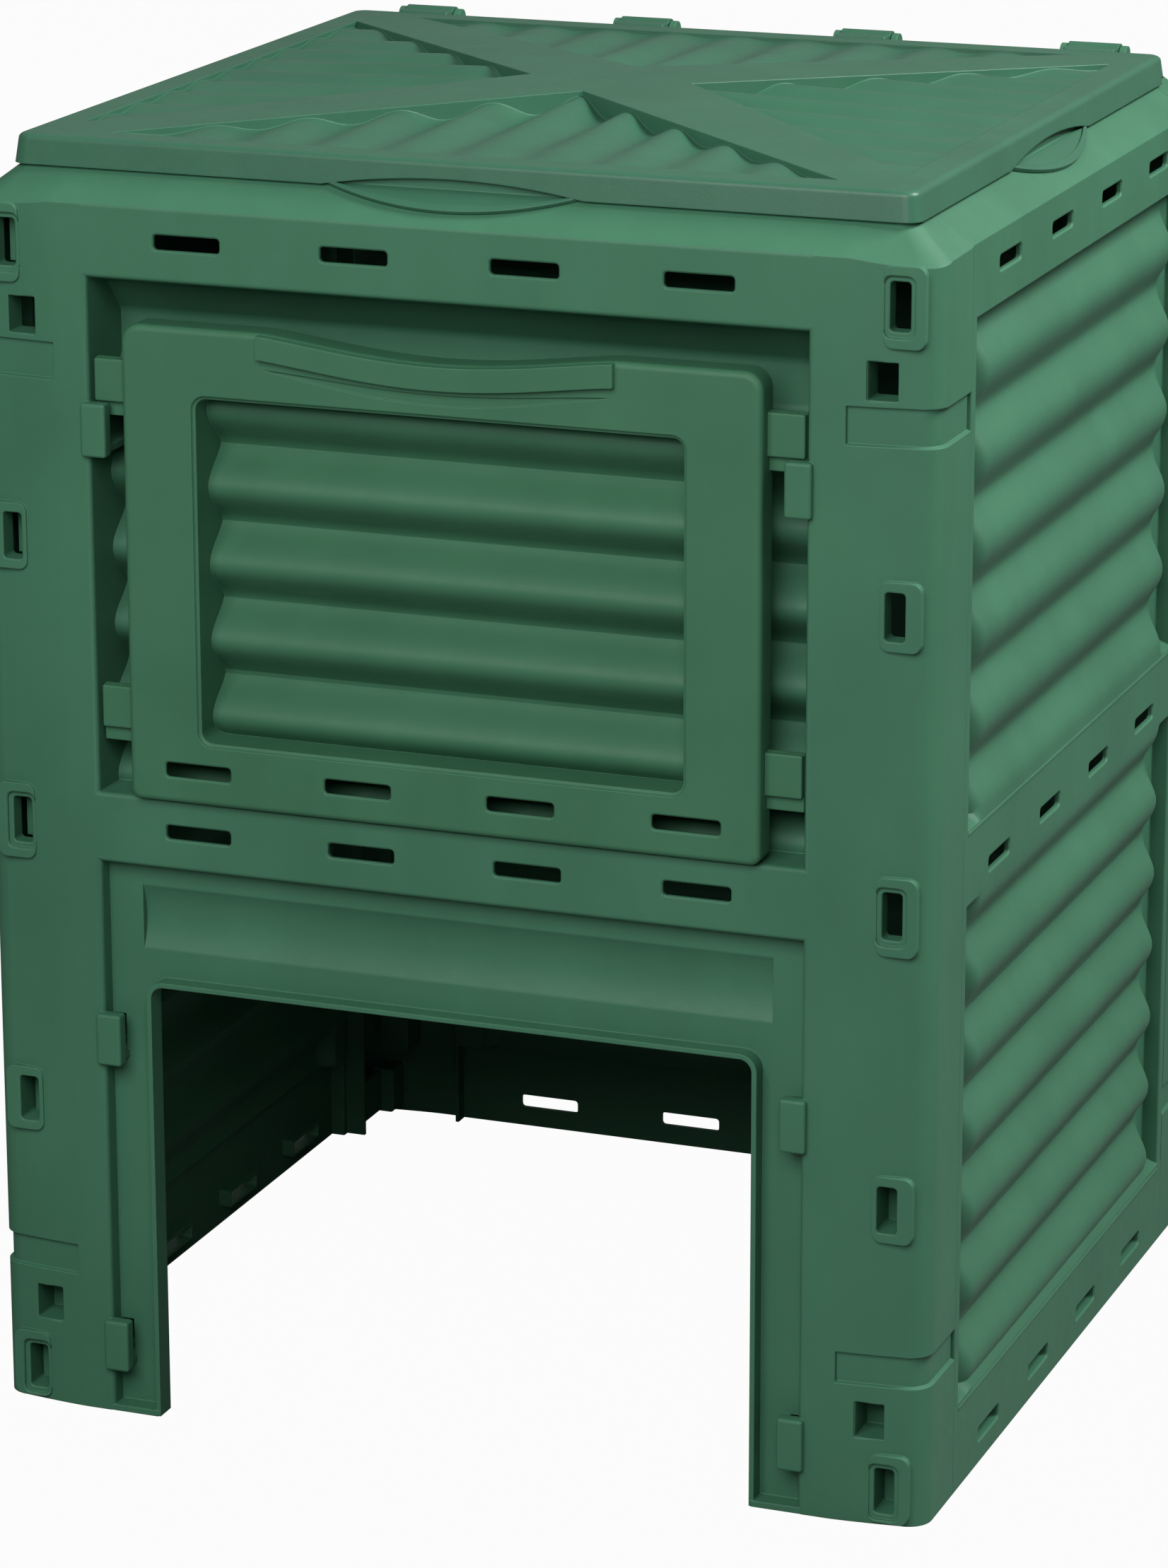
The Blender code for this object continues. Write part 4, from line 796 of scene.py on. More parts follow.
def build_front():
    past = -SCOOP_HEIGHT
    panel = front_panel_core(past, RECESS_HALF + EDGE_R * 1.4)
    boolean(panel, post(1, FRONT_WAVE_FAR, True), "UNION", True)
    floor_y = -HALF_D + RECESS_DEPTH
    back = floor_y + WALL
    rim_front = -HALF_D + RIM_FRONT_SET_BACK
    rim = prism("rim", [opening_outline(RIM_WALL, -FOOT_DROP * 0.4)], "XZ", rim_front, back - WALL * 0.5)
    join(panel, round_edges(rim, 0.0009))
    foot = box("foot", (OPENING_HALF + RIM_WALL * 0.4, -HALF_D + WALL * 0.1, -FOOT_DROP * 0.2),
               (RECESS_HALF + WALL * 0.4, back - WALL * 0.4, FOOT_FLANGE), 0.0006)
    join(panel, foot)
    scoop_r = (SCOOP_HEIGHT ** 2 / 4 + SCOOP_DEPTH ** 2) / (2 * SCOOP_DEPTH)
    scoop_y = floor_y + SCOOP_DEPTH - scoop_r
    behind = math.acos((floor_y + WALL * 0.4 - scoop_y) / (scoop_r + WALL))
    backing = arc(scoop_y, SCOOP_Z, scoop_r + WALL, -behind, behind, 24)
    join(panel, prism("backing", [backing], "YZ", past * 0.8, SCOOP_HALF + WALL))
    spread = math.asin(SCOOP_HEIGHT / 2 / scoop_r)
    hollow = arc(scoop_y, SCOOP_Z, scoop_r, -spread, spread, 24)
    hollow = hollow + [(floor_y - WALL, hollow[-1][1]), (floor_y - WALL, hollow[0][1])]
    cut(panel, prism("scoop", [hollow], "YZ", past * 2, SCOOP_HALF))
    opening = opening_outline(0.0, -2 * FOOT_DROP)
    cut(panel, prism("opening", [opening], "XZ", -HALF_D - WALL, back + WALL))
    outer = RECESS_HALF + CLIP_LAP
    inner = outer - CLIP_WIDTH
    front = -HALF_D - CLIP_PROUD
    for top in clip_tops():
        bottom = top - CLIP_HEIGHT
        upper = top > FRONT_BAND_TOP
        near = FRONT_WAVE_NEAR if upper else RECESS_DEPTH
        far = FRONT_WAVE_FAR if upper else RECESS_DEPTH
        hole_outer = RECESS_HALF - GAP
        low = (hole_outer - CLIP_HOLE_WIDTH, -HALF_D + near - WALL, bottom + CLIP_SHELF + CLIP_PROUD)
        high = (hole_outer, -HALF_D + far + 3 * WALL, top - WALL)
        if not upper:
            high = (hole_outer, floor_y + CLIP_POCKET, top - WALL)
            pocket = box("pocket", (low[0] - SLEEVE_WALL, floor_y + WALL * 0.5, low[2] - SLEEVE_WALL),
                         [value + SLEEVE_WALL for value in high])
            join(panel, pocket)
        cut(panel, box("core", low, high))
        lip = box("clip", (inner, front, bottom), (outer, front + CLIP_WALL, top), 0.0019)
        shelf_z = bottom + CLIP_PROUD * 0.4
        shelf = box("shelf", (inner + WALL * 0.5, front + CLIP_WALL * 0.5, shelf_z),
                    (RECESS_HALF + WALL * 0.5, -HALF_D + far + WALL * 0.6, shelf_z + CLIP_SHELF))
        join(panel, lip, shelf)
    cut(panel, vent_cutters("XZ", VENT_PITCH, (VENT_TOP_Z, VENT_MID_Z), -HALF_D, -HALF_D - WALL,
                            -HALF_D + 2 * WALL))
    return mirror(trim_to_ground(panel))


def hinge_centres():
    """Hinge places on the +X side, the others being their mirror images."""
    return [(k + 0.5) * HINGE_PITCH for k in range(HINGE_COUNT // 2)]


def build_back():
    reach = RECESS_HALF + SKIN * 0.5
    panel = corrugated_wall("back_panel_shell", reach, RECESS_HALF,
                            lambda u, inward, z: (u, HALF_D - inward, z), (0.0, 1.0, 0.0), False)
    ledge = box("ledge", (-INSET_X + WALL, INSET_Y - LEDGE_RUN, SHOULDER_TOP - WALL),
                (INSET_X - WALL, INSET_Y + WALL * 0.3, SHOULDER_TOP - HAIR))
    join(panel, ledge)
    boolean(panel, post(-1, WAVE_DEPTH, False), "UNION", True)
    for x in hinge_centres():
        for side in (1, -1):
            inner = x + side * (KNUCKLE_WIDTH / 2 + LUG_SIDE_GAP)
            lug = arc(HINGE_Y, HINGE_Z, HINGE_BAR_R + LUG_MARGIN, 0.0, math.pi, 16)
            base = SHOULDER_TOP - WALL * 0.5
            lug = lug + [(HINGE_Y + end * (HINGE_BAR_R + LUG_MARGIN), base) for end in (-1, 1)]
            join(panel, round_edges(prism("lug", [lug], "YZ", inner, inner + side * LUG_WALL), 0.0006))
        half = KNUCKLE_WIDTH / 2 + LUG_SIDE_GAP + LUG_WALL * 0.6
        join(panel, rod("bar", HINGE_BAR_R, (x - half, HINGE_Y, HINGE_Z), (x + half, HINGE_Y, HINGE_Z)))
    cut(panel, vent_cutters("XZ", VENT_PITCH, (VENT_TOP_Z, VENT_MID_Z, VENT_LOW_Z), HALF_D, HALF_D + WALL,
                            HALF_D - 2 * WALL))
    return mirror(trim_to_ground(panel))


def build_side():
    """Right-hand side panel; its tongues reach into the hollow posts."""
    half = SEAM_Y - GAP
    rib_start = half - RIB_WIDTH
    panel = corrugated_wall("right_panel_shell", half, rib_start,
                            lambda u, inward, z: (HALF_W - inward, u, z), (1.0, 0.0, 0.0), True)
    hook_x = HALF_W - HOOK_INSET
    for end in (1, -1):
        rib = box("rib", (HALF_W - HAIR, end * rib_start, -FOOT_DROP * 0.3),
                  (HALF_W - WAVE_DEPTH - WALL * 0.5, end * (half - HAIR), TOP_BAND_BOTTOM + WALL * 0.5),
                  RIB_EDGE_R)
        plate = box("plate", (HALF_W - WALL * 0.5, end * (half - WALL), -FOOT_DROP * 0.8),
                    (hook_x - HOOK_SLOT_WIDTH * 0.1, end * (half - 2 * GAP), WALL_HEIGHT - WALL))
        join(panel, rib, plate)
        tongues = []
        for z in HOOK_TALL_Z + HOOK_SMALL_Z:
            low = max(z - HOOK_SLOT_HEIGHT / 2, HOOK_PAD_FOOT)
            tip = HALF_D - POST_TILT - HOOK_SLEEVE_DEPTH - GAP
            x = hook_x + HOOK_SLOT_WIDTH * 0.12
            tongues.append(box("tongue", (x, end * (half - WALL * 0.6), low),
                               (x + WALL, end * tip, min(z + HOOK_SLOT_HEIGHT / 2, WALL_HEIGHT - 2 * WALL))))
        join(panel, group("tongues", tongues))
    for z in (LOW_BAND_TOP - LEDGE_LINE * 2.2, MID_BAND_TOP - LEDGE_LINE * 1.6):
        join(panel, box("line", (HALF_W - WALL * 0.5, -rib_start, z),
                        (HALF_W + LEDGE_PROUD - GAP, rib_start, z + LEDGE_LINE), LEDGE_PROUD * 0.5))
    rows = (VENT_TOP_Z, VENT_MID_Z, VENT_LOW_Z)
    sleeve_end = HALF_W - VENT_SLEEVE_DEPTH
    join(panel, vent_sleeves("YZ", VENT_PITCH, (VENT_LOW_Z,), HALF_W - WALL * 0.5, sleeve_end))
    cut(panel, vent_cutters("YZ", VENT_PITCH, rows, HALF_W, HALF_W + WALL, sleeve_end - WALL))
    return trim_to_ground(panel)


def mirror_copy(item, name):
    """Opposite-handed twin of a finished piece."""
    shape = bmesh.new()
    shape.from_mesh(item.data)
    bmesh.ops.transform(shape, matrix=Matrix.Diagonal((-1.0, 1.0, 1.0, 1.0)), verts=shape.verts)
    bmesh.ops.reverse_faces(shape, faces=shape.faces)
    return new_solid(name, shape)


def lid_ring(inset, z):
    """Rounded rectangle at an inset from the lid's outer edge."""
    radius = max(LID_CORNER_R - inset * 0.5, LID_LEAST_R)
    outline = rounded_box(0.0, LID_CENTRE_Y, 2 * (LID_HALF_X - inset), 2 * (LID_HALF_Y - inset), radius, 8)
    return [(x, y, z) for x, y in outline]


def lid_shell():
    """Skirt, rounded edge, flat border and low crown as one thickened loft."""
    rings = [lid_ring(0.0, SKIRT_BOTTOM), lid_ring(SKIRT_DRAFT, SKIRT_TOP)]
    for k in range(1, 6):
        t = math.pi / 2 * k / 5
        inset = SKIRT_DRAFT + LID_EDGE_RISE * 1.2 * (1.0 - math.cos(t))
        rings.append(lid_ring(inset, SKIRT_TOP + LID_EDGE_RISE * math.sin(t)))
    rings.append(lid_ring(BORDER_WIDTH, BORDER_Z))
    shape = bmesh.new()
    last = skin(shape, rings)[-1]
    top = shape.verts.new((0.0, LID_CENTRE_Y, CROWN_Z))
    for k in range(len(last)):
        shape.faces.new((last[k], last[(k + 1) % len(last)], top))
    bmesh.ops.recalc_face_normals(shape, faces=shape.faces)
    turn_outward(shape, (0.0, 0.0, 1.0))
    return thicken(new_solid("lid_shell", shape), LID_WALL)


def crown_height(u, v):
    """Top surface height over the crown at a place measured from the lid's centre."""
    share_x = abs(u) / (LID_HALF_X - BORDER_WIDTH)
    share_y = abs(v) / (LID_HALF_Y - BORDER_WIDTH)
    return CROWN_Z - CROWN_RISE * min(1.0, max(share_x, share_y))


def pane_side(direction):
    """Whether a pane's outer edge runs along X, its sign, its reach from the centre and half its length."""
    reach_x = LID_HALF_X - BORDER_WIDTH
    reach_y = LID_HALF_Y - BORDER_WIDTH
    sign = -1 if direction in ("front", "left") else 1
    along_x = direction in ("front", "rear")
    return (along_x, sign, reach_y, reach_x) if along_x else (along_x, sign, reach_x, reach_y)


def pane_triangle(direction, grow):
    """Corners of one recessed pane between the crossed bands, from its centre corner."""
    along_x, sign, reach, across = pane_side(direction)
    tilt = math.atan2(reach, across)
    edge = reach + grow
    tip = (BAND_CENTRE_WIDTH / 2 - grow) / math.cos(tilt)
    spread = (edge - (BAND_CORNER_WIDTH / 2 - grow) / math.cos(tilt)) / math.tan(tilt)
    corners = [(0.0, sign * tip), (spread, sign * edge), (-spread, sign * edge)]
    return corners if along_x else [(v, u) for u, v in corners]


def pane(direction):
    """Waved pane and its upright edge wall."""
    corners = pane_triangle(direction, 0.0)
    wide = pane_triangle(direction, PANE_WALL * 0.5)
    along_x, sign, reach, across = pane_side(direction)
    deep = LID_WALL * 0.5 + PANE_DROP + PANE_WAVE + PANE_WALL
    shape = bmesh.new()
    top_loop = []
    low_loop = []
    for u, v in corners:
        z = crown_height(u, v) - LID_WALL * 0.15
        top_loop.append(shape.verts.new((u, v + LID_CENTRE_Y, z)))
        low_loop.append(shape.verts.new((u, v + LID_CENTRE_Y, z - deep)))
    centre = Vector((sum(c[0] for c in corners) / 3, sum(c[1] for c in corners) / 3 + LID_CENTRE_Y, 0.0))
    for k in range(3):
        n = (k + 1) % 3
        face = shape.faces.new((low_loop[k], low_loop[n], top_loop[n], top_loop[k]))
        face.normal_update()
        inward = centre - face.calc_center_median()
        inward.z = 0.0
        if face.normal.dot(inward) < 0.0:
            face.normal_flip()
    edge_wall = thicken(new_solid("edge", shape), PANE_WALL)
    span = max(abs(c[0 if along_x else 1]) for c in wide) * 1.02
    steps = round(2 * span / PANE_PITCH * WAVE_STEPS)
    rows = []
    for far in [reach * 0.17 * k for k in range(7)]:
        inner_share = max(0.0, 1.0 - far / reach)
        row = []
        for k in range(steps + 1):
            s = -span + 2 * span * k / steps
            trough = 0.5 - 0.5 * math.cos(2 * math.pi * s / PANE_PITCH)
            drop_z = PANE_DROP * (0.4 + 0.6 * inner_share) + PANE_WAVE * trough * (0.16 + 0.84 * inner_share)
            z = CROWN_Z - CROWN_RISE * far / reach - drop_z
            u, v = (s, sign * far) if along_x else (sign * far, s)
            row.append((u, v + LID_CENTRE_Y, z))
        rows.append(row)
    waves = sheet("waves", rows, PANE_WALL, (0.0, 0.0, 1.0))
    outline = [(u, v + LID_CENTRE_Y) for u, v in wide]
    boolean(waves, prism("trim", [outline], "XY", BORDER_Z - 0.05, CROWN_Z + 0.05), "INTERSECT")
    return edge_wall, waves


def bow_shares():
    """Even steps from one end of a bow, at -1, to the other, at 1."""
    return [-1.0 + 2.0 * k / BOW_STEPS for k in range(BOW_STEPS + 1)]


def lens(half, rise, fall):
    """Lens outline between an upper and a lower bow through the same two ends."""
    upper = [(s * half, rise * (1.0 - s * s)) for s in bow_shares()]
    lower = [(s * half, -fall * (1.0 - s * s)) for s in bow_shares()]
    return upper + lower[-2:0:-1]


def tongue(turn):
    """Lens-shaped finger flap that lies just off the shoulder, turned to its side of the lid."""
    forward = abs(math.sin(turn)) < 0.5
    reach = INSET_Y if forward else INSET_X
    centre_shift = 0.0 if forward else LID_CENTRE_Y
    flap = prism("tongue", [lens(GRIP_HALF * 0.96, 0.0008, TONGUE_LENGTH)], "XY", 0.0, TONGUE_WALL)
    round_edges(flap, 0.0008)
    bowl = prism("bowl", [lens(GRIP_HALF * 0.88, 0.002, TONGUE_LENGTH - 2 * TONGUE_WALL)], "XY",
                 TONGUE_WALL - GRIP_BOWL_DEPTH, TONGUE_WALL * 2)
    cut(flap, bowl)
    slope = math.atan2(SHOULDER_RISE, SHOULDER_RUN)
    lift = Matrix.Translation((0.0, 0.0, TONGUE_GAP))
    lean = Matrix.Rotation(slope, 4, "X")
    out = LID_OVERHANG * 0.45
    start = Matrix.Translation((0.0, -(reach + out), SHOULDER_TOP - out * SLOPE))
    spin = Matrix.Translation((0.0, centre_shift, 0.0)) @ Matrix.Rotation(turn, 4, "Z")
    flap.data.transform(spin @ start @ lean @ lift)
    return flap


def build_lid():
    lid = lid_shell()
    tools = []
    for direction in ("front", "rear", "left", "right"):
        outline = [(u, v + LID_CENTRE_Y) for u, v in pane_triangle(direction, 0.0)]
        tools.append(prism("pane", [outline], "XY", BORDER_Z - 0.05, CROWN_Z + 0.05))
    cut(lid, group("panes", tools))
    for direction in ("front", "rear", "left", "right"):
        edge_wall, waves = pane(direction)
        join(lid, edge_wall, waves)
    rear = box("rear_cut", (-LID_HALF_X - WALL, LID_REAR - LID_CORNER_R - LID_WALL, SKIRT_BOTTOM - WALL),
               (LID_HALF_X + WALL, LID_REAR + LID_WALL * 2, SKIRT_BOTTOM + REAR_SKIRT_CUT))
    cut(lid, rear)
    arch = [(u, v + SKIRT_BOTTOM) for u, v in lens(GRIP_HALF, GRIP_ARCH, GRIP_ARCH)]
    cut(lid, prism("arch", [arch], "XZ", LID_FRONT - WALL, LID_FRONT + 2 * LID_WALL))
    shifted = [(u + LID_CENTRE_Y, v) for u, v in arch]
    cut(lid, prism("arch", [shifted], "YZ", LID_HALF_X + WALL, LID_HALF_X - 2 * LID_WALL))
    boolean(lid, group("tongues", [tongue(0.0), tongue(math.pi / 2)]), "UNION", True)
    inner_r = HINGE_BAR_R + HINGE_CLEARANCE
    mouth_start = -math.pi / 2 - KNUCKLE_MOUTH / 2
    mouth_end = -math.pi / 2 + KNUCKLE_MOUTH / 2
    outer = arc(HINGE_Y, HINGE_Z, KNUCKLE_R, mouth_end, mouth_start + 2 * math.pi, 32)
    inner = arc(HINGE_Y, HINGE_Z, inner_r, mouth_start + 2 * math.pi, mouth_end, 24)
    for x in hinge_centres():
        hook = prism("knuckle", [outer + inner], "YZ", x - KNUCKLE_WIDTH / 2, x + KNUCKLE_WIDTH / 2)
        round_edges(hook, 0.0005)
        arm_half = KNUCKLE_WIDTH / 2 - HAIR
        arm = box("arm", (x - arm_half, LID_REAR - SKIRT_DRAFT - LID_WALL * 0.8, HINGE_Z - HINGE_BAR_R),
                  (x + arm_half, HINGE_Y - inner_r * 1.3, BORDER_Z + LID_WALL * 0.4), 0.0008)
        join(lid, hook, arm)
    return mirror(lid)


def dip(x):
    """How far the door's top edge falls at a place along it."""
    if abs(x) >= DIP_HALF:
        return 0.0
    return DIP_DEPTH * math.cos(math.pi / 2 * x / DIP_HALF) ** 1.2


def door_outline(inset):
    half = DOOR_HALF - inset
    low = DOOR_BOTTOM + inset
    high = DOOR_TOP - inset
    radius = DOOR_CORNER - inset
    points = arc(half - radius, high - radius, radius, 0.0, math.pi / 2, 8)
    points += [(-s * DIP_HALF, high - dip(s * DIP_HALF)) for s in bow_shares()]
    points += arc(-half + radius, high - radius, radius, math.pi / 2, math.pi, 8)
    small = radius * 0.5
    points += arc(-half + small, low + small, small, math.pi, 1.5 * math.pi, 6)
    points += arc(half - small, low + small, small, 1.5 * math.pi, 2 * math.pi, 6)
    return points


def door_body():
    """Solid block with its front edges rounded, as rings of its outline."""
    back = DOOR_FRONT + DOOR_DEPTH
    rings = [(back, 0.0)]
    for k in range(7):
        t = math.pi / 2 * k / 6
        rings.append((DOOR_FRONT + DOOR_EDGE_R * (1.0 - math.sin(t)), DOOR_EDGE_R * (1.0 - math.cos(t))))
    return loft("front_door_shell", [[(x, y, z) for x, z in door_outline(inset)] for y, inset in rings])


def build_door():
    back = DOOR_FRONT + DOOR_DEPTH
    door = door_body()
    cut(door, prism("hollow", [door_outline(DOOR_WALL)], "XZ", DOOR_FRONT + DOOR_WALL, back + DOOR_WALL))
    panel_low = DOOR_BOTTOM + DOOR_PANEL_BOTTOM
    panel_z = panel_low + DOOR_PANEL_HEIGHT / 2
    window = growing_box(0.0, panel_z, 2 * DOOR_PANEL_HALF, DOOR_PANEL_HEIGHT, DOOR_PANEL_CORNER, 6)
    frame_wall = prism("frame", [window(DOOR_WALL)], "XZ", DOOR_FRONT + DOOR_WALL * 0.4,
                       DOOR_FRONT + DOOR_WAVE_FAR + 2 * DOOR_WALL)
    half = DOOR_PANEL_HALF + DOOR_WALL * 0.5
    low = panel_low - DOOR_WALL * 0.5
    high = panel_low + DOOR_PANEL_HEIGHT + DOOR_WALL * 0.5
    rows = []
    behind = []
    for z in wave_heights(low, high, DOOR_WAVE_PITCH):
        share = crest(z, DOOR_BOTTOM + DOOR_WAVE_FIRST, DOOR_WAVE_PITCH)
        y = DOOR_FRONT + DOOR_WAVE_FAR - (DOOR_WAVE_FAR - DOOR_WAVE_NEAR) * share
        rows.append([(-half, y, z), (half, y, z)])
        behind.append((y + DOOR_WALL * 0.6, z))
    far = DOOR_FRONT + 2 * DOOR_WAVE_FAR
    behind = [(far, low - WALL), (behind[0][0], low - WALL)] + behind
    behind += [(behind[-1][0], high + WALL), (far, high + WALL)]
    cut(frame_wall, prism("behind", [behind], "YZ", -DOOR_HALF, DOOR_HALF))
    join(door, frame_wall)
    cut(door, plug("window", window, "XZ", DOOR_FRONT, DOOR_FRONT - DOOR_WALL, far, WINDOW_FLARE, 5))
    join(door, sheet("waves", rows, DOOR_WALL, (0.0, -1.0, 0.0)))
    upper = [(s * DIP_HALF, DOOR_TOP - dip(s * DIP_HALF) - DOOR_WALL * 0.3) for s in bow_shares()]
    lower = [(x, top - LIP_BAND) for x, top in upper]
    lip = prism("lip", [upper + lower[::-1]], "XZ", DOOR_FRONT - LIP_PROUD, DOOR_FRONT + DOOR_EDGE_R)
    round_edges(lip, LIP_PROUD * 0.6, 4)
    join(door, lip)
    groove = []
    for sign in (1, -1):
        for s in bow_shares()[1:-1] if sign == -1 else bow_shares():
            x = sign * s * DIP_HALF * 0.97
            mid = DOOR_TOP - dip(x) - LIP_BAND - GROOVE_DROP - GROOVE_HEIGHT / 2
            groove.append((x, mid + sign * max(GROOVE_HEIGHT / 2 * (1.0 - s * s), 0.0)))
    cut(door, prism("groove", [groove], "XZ", DOOR_FRONT - DOOR_WALL, DOOR_FRONT + GROOVE_DEPTH))
    tab_front = -HALF_D + TAB_FRONT_SET_BACK
    for z in (DOOR_BOTTOM + TAB_LOWER_Z, DOOR_BOTTOM + TAB_UPPER_Z):
        flange = box("tab", (DOOR_HALF - DOOR_WALL * 0.5, tab_front, z),
                     (DOOR_HALF + TAB_REACH, tab_front + TAB_WALL, z + TAB_HEIGHT), 0.0008)
        step = box("step", (DOOR_HALF - DOOR_WALL * 0.4, tab_front - TAB_STEP, z + CLIP_BITE + GAP),
                   (DOOR_HALF + TAB_REACH - GAP, tab_front + TAB_WALL * 0.6, z + TAB_HEIGHT - GAP), 0.0012)
        join(door, flange, step)
    cut(door, vent_cutters("XZ", DOOR_VENT_PITCH, (DOOR_BOTTOM + DOOR_VENT_Z,), DOOR_FRONT,
                           DOOR_FRONT - DOOR_WALL, DOOR_FRONT + 2 * DOOR_WALL))
    return mirror(door)


def set_inputs(node, values):
    for key, value in values.items():
        node.inputs[key].default_value = value
    return node


def new_material(name):
    material = bpy.data.materials.new(name)
    material.use_nodes = True
    return material, material.node_tree.nodes, material.node_tree.links


def moulded_plastic(name, base, shade, roughness):
    """Satin moulded plastic: cloudy colour, fine spark-eroded grain, flow marks and paler edges, which are
    partly wear and partly a painted highlight.
    """
    material, nodes, links = new_material(name)
    shader = set_inputs(nodes["Principled BSDF"], {"Metallic": 0.0, "IOR": 1.49, "Specular IOR Level": 0.35})
    where = nodes.new("ShaderNodeTexCoord")

    def noise(scale, detail, rough, stretch=(1.0, 1.0, 1.0)):
        mapping = set_inputs(nodes.new("ShaderNodeMapping"), {"Scale": stretch})
        links.new(where.outputs["Object"], mapping.inputs["Vector"])
        texture = set_inputs(nodes.new("ShaderNodeTexNoise"),
                             {"Scale": scale, "Detail": detail, "Roughness": rough})
        links.new(mapping.outputs["Vector"], texture.inputs["Vector"])
        return texture.outputs["Fac"]

    def spread(value, low, high, out_low, out_high):
        step = set_inputs(nodes.new("ShaderNodeMapRange"),
                          {"From Min": low, "From Max": high, "To Min": out_low, "To Max": out_high})
        links.new(value, step.inputs["Value"])
        return step.outputs["Result"]

    def bump(height, strength, distance, normal):
        step = set_inputs(nodes.new("ShaderNodeBump"), {"Strength": strength, "Distance": distance})
        links.new(height, step.inputs["Height"])
        links.new(normal, step.inputs["Normal"])
        return step.outputs["Normal"]

    def mix(factor, first, second):
        step = nodes.new("ShaderNodeMix")
        step.data_type = "RGBA"
        links.new(factor, step.inputs["Factor"])
        for socket, colour in ((step.inputs[6], first), (step.inputs[7], second)):
            if isinstance(colour, tuple):
                socket.default_value = (*colour, 1.0)
            else:
                links.new(colour, socket)
        return step.outputs[2]

    cloud = noise(7.0, 4.0, 0.55)
    flow = noise(22.0, 3.0, 0.5, (1.0, 1.0, 0.35))
    grain = noise(1500.0, 2.0, 0.6)
    pits = noise(420.0, 2.0, 0.5)
    dust = noise(90.0, 6.0, 0.7)
    colour = mix(spread(cloud, 0.35, 0.65, 0.0, 1.0), shade, base)
    colour = mix(spread(flow, 0.45, 0.75, 0.0, 0.35), colour, tuple(c * 1.18 for c in base))
    # Paler rim along every sharp edge, found where the bevel normal leaves the true normal: partly edge wear
    # and partly a painted highlight on the rounded rims.
    rounding = nodes.new("ShaderNodeBevel")
    rounding.samples = 6
    rounding.inputs["Radius"].default_value = 0.0011
    geometry = nodes.new("ShaderNodeNewGeometry")
    turn = nodes.new("ShaderNodeVectorMath")
    turn.operation = "DOT_PRODUCT"
    links.new(rounding.outputs["Normal"], turn.inputs[0])
    links.new(geometry.outputs["Normal"], turn.inputs[1])
    edge = spread(turn.outputs["Value"], 0.99, 0.80, 0.0, 0.30)
    colour = mix(edge, colour, tuple(min(1.0, c * 1.9 + 0.03) for c in base))
    links.new(colour, shader.inputs["Base Color"])
    links.new(spread(dust, 0.3, 0.8, roughness - 0.05, roughness + 0.09), shader.inputs["Roughness"])
    normal = bump(grain, 0.28, 0.00012, rounding.outputs["Normal"])
    normal = bump(pits, 0.16, 0.0003, normal)
    links.new(bump(flow, 0.25, 0.0016, normal), shader.inputs["Normal"])
    return material


def show(item, node, body, slot):
    """Finish a piece: smooth its curves, place it in the frame and let it ride on its body."""
    item.name = node + "_shell"
    item.data.name = item.name
    item.data.materials.clear()
    item.data.materials.append(materials[slot])
    item.data.transform(Matrix.Translation((0.0, CENTRE_SHIFT, 0.0)))
    item.data.shade_smooth()
    item.data.set_sharp_from_angle(angle=math.radians(32))
    weighted = item.modifiers.new("normals", "WEIGHTED_NORMAL")
    weighted.keep_sharp = True
    weighted.weight = 60
    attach(item, body)
    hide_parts(node)


PLASTICS = {
    "moulded_green": ((0.043, 0.150, 0.084), (0.037, 0.134, 0.074), 0.56),
    "lid_green": ((0.036, 0.124, 0.072), (0.032, 0.111, 0.064), 0.38),
    "door_green": ((0.040, 0.142, 0.075), (0.035, 0.127, 0.066), 0.56),
}
materials = {slot: moulded_plastic(slot, *look) for slot, look in PLASTICS.items()}
front_shell = build_front()
back_shell = build_back()
right_shell = build_side()
left_shell = mirror_copy(right_shell, "left_panel_shell")
for item, node, body, slot in ((front_shell, "front_panel", "bin", "moulded_green"),
                               (back_shell, "back_panel", "bin", "moulded_green"),
                               (right_shell, "right_panel", "bin", "moulded_green"),
                               (left_shell, "left_panel", "bin", "moulded_green"),
                               (build_lid(), "lid", "lid", "lid_green"),
                               (build_door(), "front_door", "door", "door_green")):
    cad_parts[node].data.materials.clear()
    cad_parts[node].data.materials.append(materials[slot])
    show(item, node, body, slot)

# Studio
FLOOR_HALF = 6.0
FLOOR_BOUNCE = 0.25
FLOOR_GLOW = 1.14
CAMERA_PLACE = (1.2454382, -3.3035813, 1.390701)
CAMERA_YAW = 0.3736
CAMERA_PITCH = 0.2829
CAMERA_ROLL = -0.0038
CAMERA_LENS = 131.4
CAMERA_SHIFT = (0.02705, -0.00902)


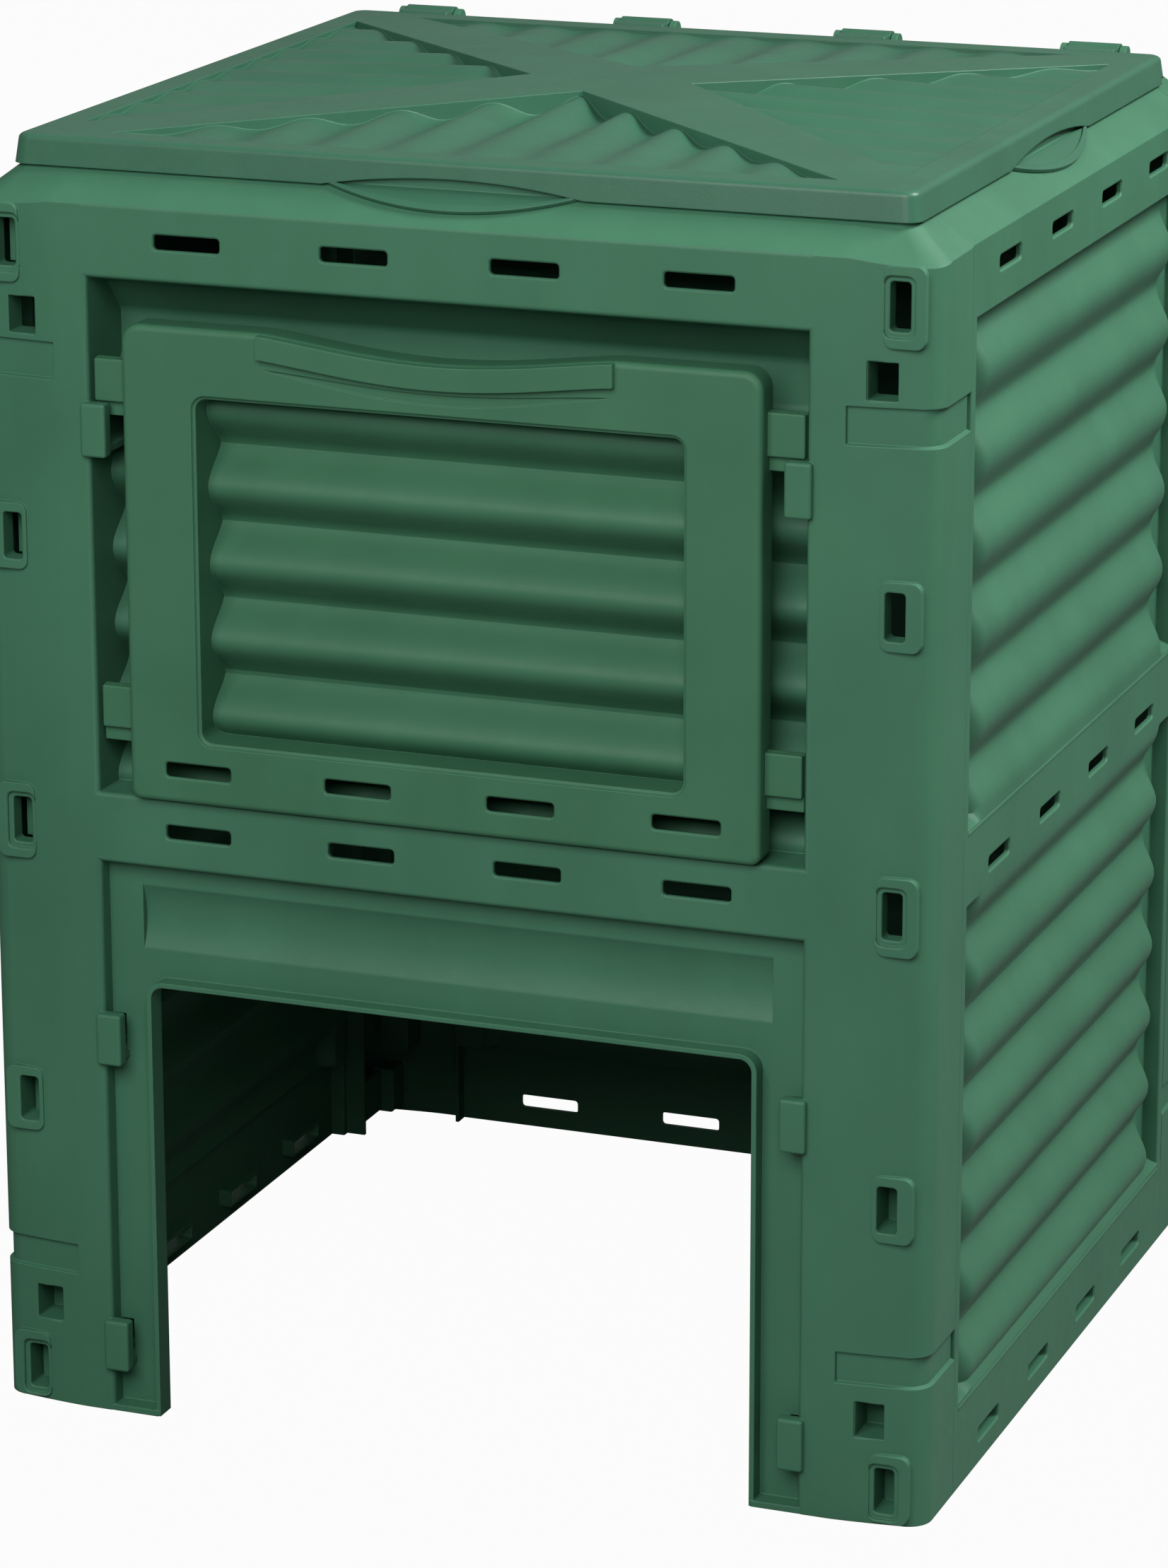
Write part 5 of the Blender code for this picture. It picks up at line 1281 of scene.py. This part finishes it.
def plain_surface(name, colour, roughness):
    """Floor paper with a faint mottle, seen by the camera as evenly lit white."""
    material, nodes, links = new_material(name)
    shader = set_inputs(nodes["Principled BSDF"], {"Roughness": roughness})
    texture = set_inputs(nodes.new("ShaderNodeTexNoise"), {"Scale": 3.0})
    ramp = set_inputs(nodes.new("ShaderNodeMapRange"), {"To Min": colour * 0.985, "To Max": colour})
    links.new(texture.outputs["Fac"], ramp.inputs["Value"])
    grey = nodes.new("ShaderNodeMath")
    grey.operation = "MULTIPLY"
    grey.inputs[1].default_value = FLOOR_BOUNCE
    links.new(ramp.outputs["Result"], grey.inputs[0])
    links.new(grey.outputs["Value"], shader.inputs["Base Color"])
    seen = set_inputs(nodes.new("ShaderNodeEmission"), {"Strength": FLOOR_GLOW})
    links.new(ramp.outputs["Result"], seen.inputs["Color"])
    path = nodes.new("ShaderNodeLightPath")
    pick = nodes.new("ShaderNodeMixShader")
    links.new(path.outputs["Is Camera Ray"], pick.inputs["Fac"])
    links.new(shader.outputs["BSDF"], pick.inputs[1])
    links.new(seen.outputs["Emission"], pick.inputs[2])
    links.new(pick.outputs["Shader"], nodes["Material Output"].inputs["Surface"])
    return material


def studio_floor():
    shape = bmesh.new()
    bmesh.ops.create_grid(shape, x_segments=8, y_segments=8, size=FLOOR_HALF)
    floor = new_solid("studio_floor", shape)
    floor.location.z = -0.0006
    floor.data.materials.append(plain_surface("studio_paper", 0.86, 0.8))


def soft_light(name, place, target, size, power):
    light = bpy.data.lights.new(name, "AREA")
    light.shape = "RECTANGLE"
    light.size = size[0]
    light.size_y = size[1]
    light.energy = power
    item = new_object(name, light)
    item.location = place
    item.rotation_euler = (Vector(target) - Vector(place)).to_track_quat("-Z", "Y").to_euler()


def studio_world(seen, lit, mirrored):
    """White for the camera, dimmer in reflections and dimmest as light that falls on the bin."""
    world = bpy.data.worlds.new("studio")
    world.use_nodes = True
    nodes = world.node_tree.nodes
    links = world.node_tree.links
    path = nodes.new("ShaderNodeLightPath")
    surface = set_inputs(nodes["Background"], {"Color": (lit, lit, lit * 1.02, 1.0)}).outputs["Background"]
    for ray, level in (("Is Glossy Ray", mirrored), ("Is Camera Ray", seen)):
        backdrop = set_inputs(nodes.new("ShaderNodeBackground"), {"Color": (level, level, level, 1.0)})
        pick = nodes.new("ShaderNodeMixShader")
        links.new(path.outputs[ray], pick.inputs["Fac"])
        links.new(surface, pick.inputs[1])
        links.new(backdrop.outputs["Background"], pick.inputs[2])
        surface = pick.outputs["Shader"]
    links.new(surface, nodes["World Output"].inputs["Surface"])
    bpy.context.scene.world = world


def studio_camera():
    camera = bpy.data.cameras.new("camera")
    camera.sensor_width = 36.0
    camera.sensor_fit = "AUTO"
    camera.lens = CAMERA_LENS
    camera.shift_x, camera.shift_y = CAMERA_SHIFT
    camera.clip_end = 50.0
    item = new_object("camera", camera)
    turn = Matrix.Rotation(CAMERA_YAW, 4, "Z") @ Matrix.Rotation(math.pi / 2 - CAMERA_PITCH, 4, "X")
    item.matrix_world = Matrix.Translation(CAMERA_PLACE) @ turn @ Matrix.Rotation(CAMERA_ROLL, 4, "Z")
    bpy.context.scene.camera = item


studio_floor()
studio_world(0.98, 0.09, 0.22)
soft_light("front", (0.2, -2.3, 1.9), (0.0, -0.1, 0.6), (1.9, 1.5), 62.0)
soft_light("side", (1.7, 0.2, 2.4), (0.1, 0.0, 0.5), (1.0, 1.0), 82.0)
studio_camera()
bpy.context.scene.view_settings.view_transform = "Standard"
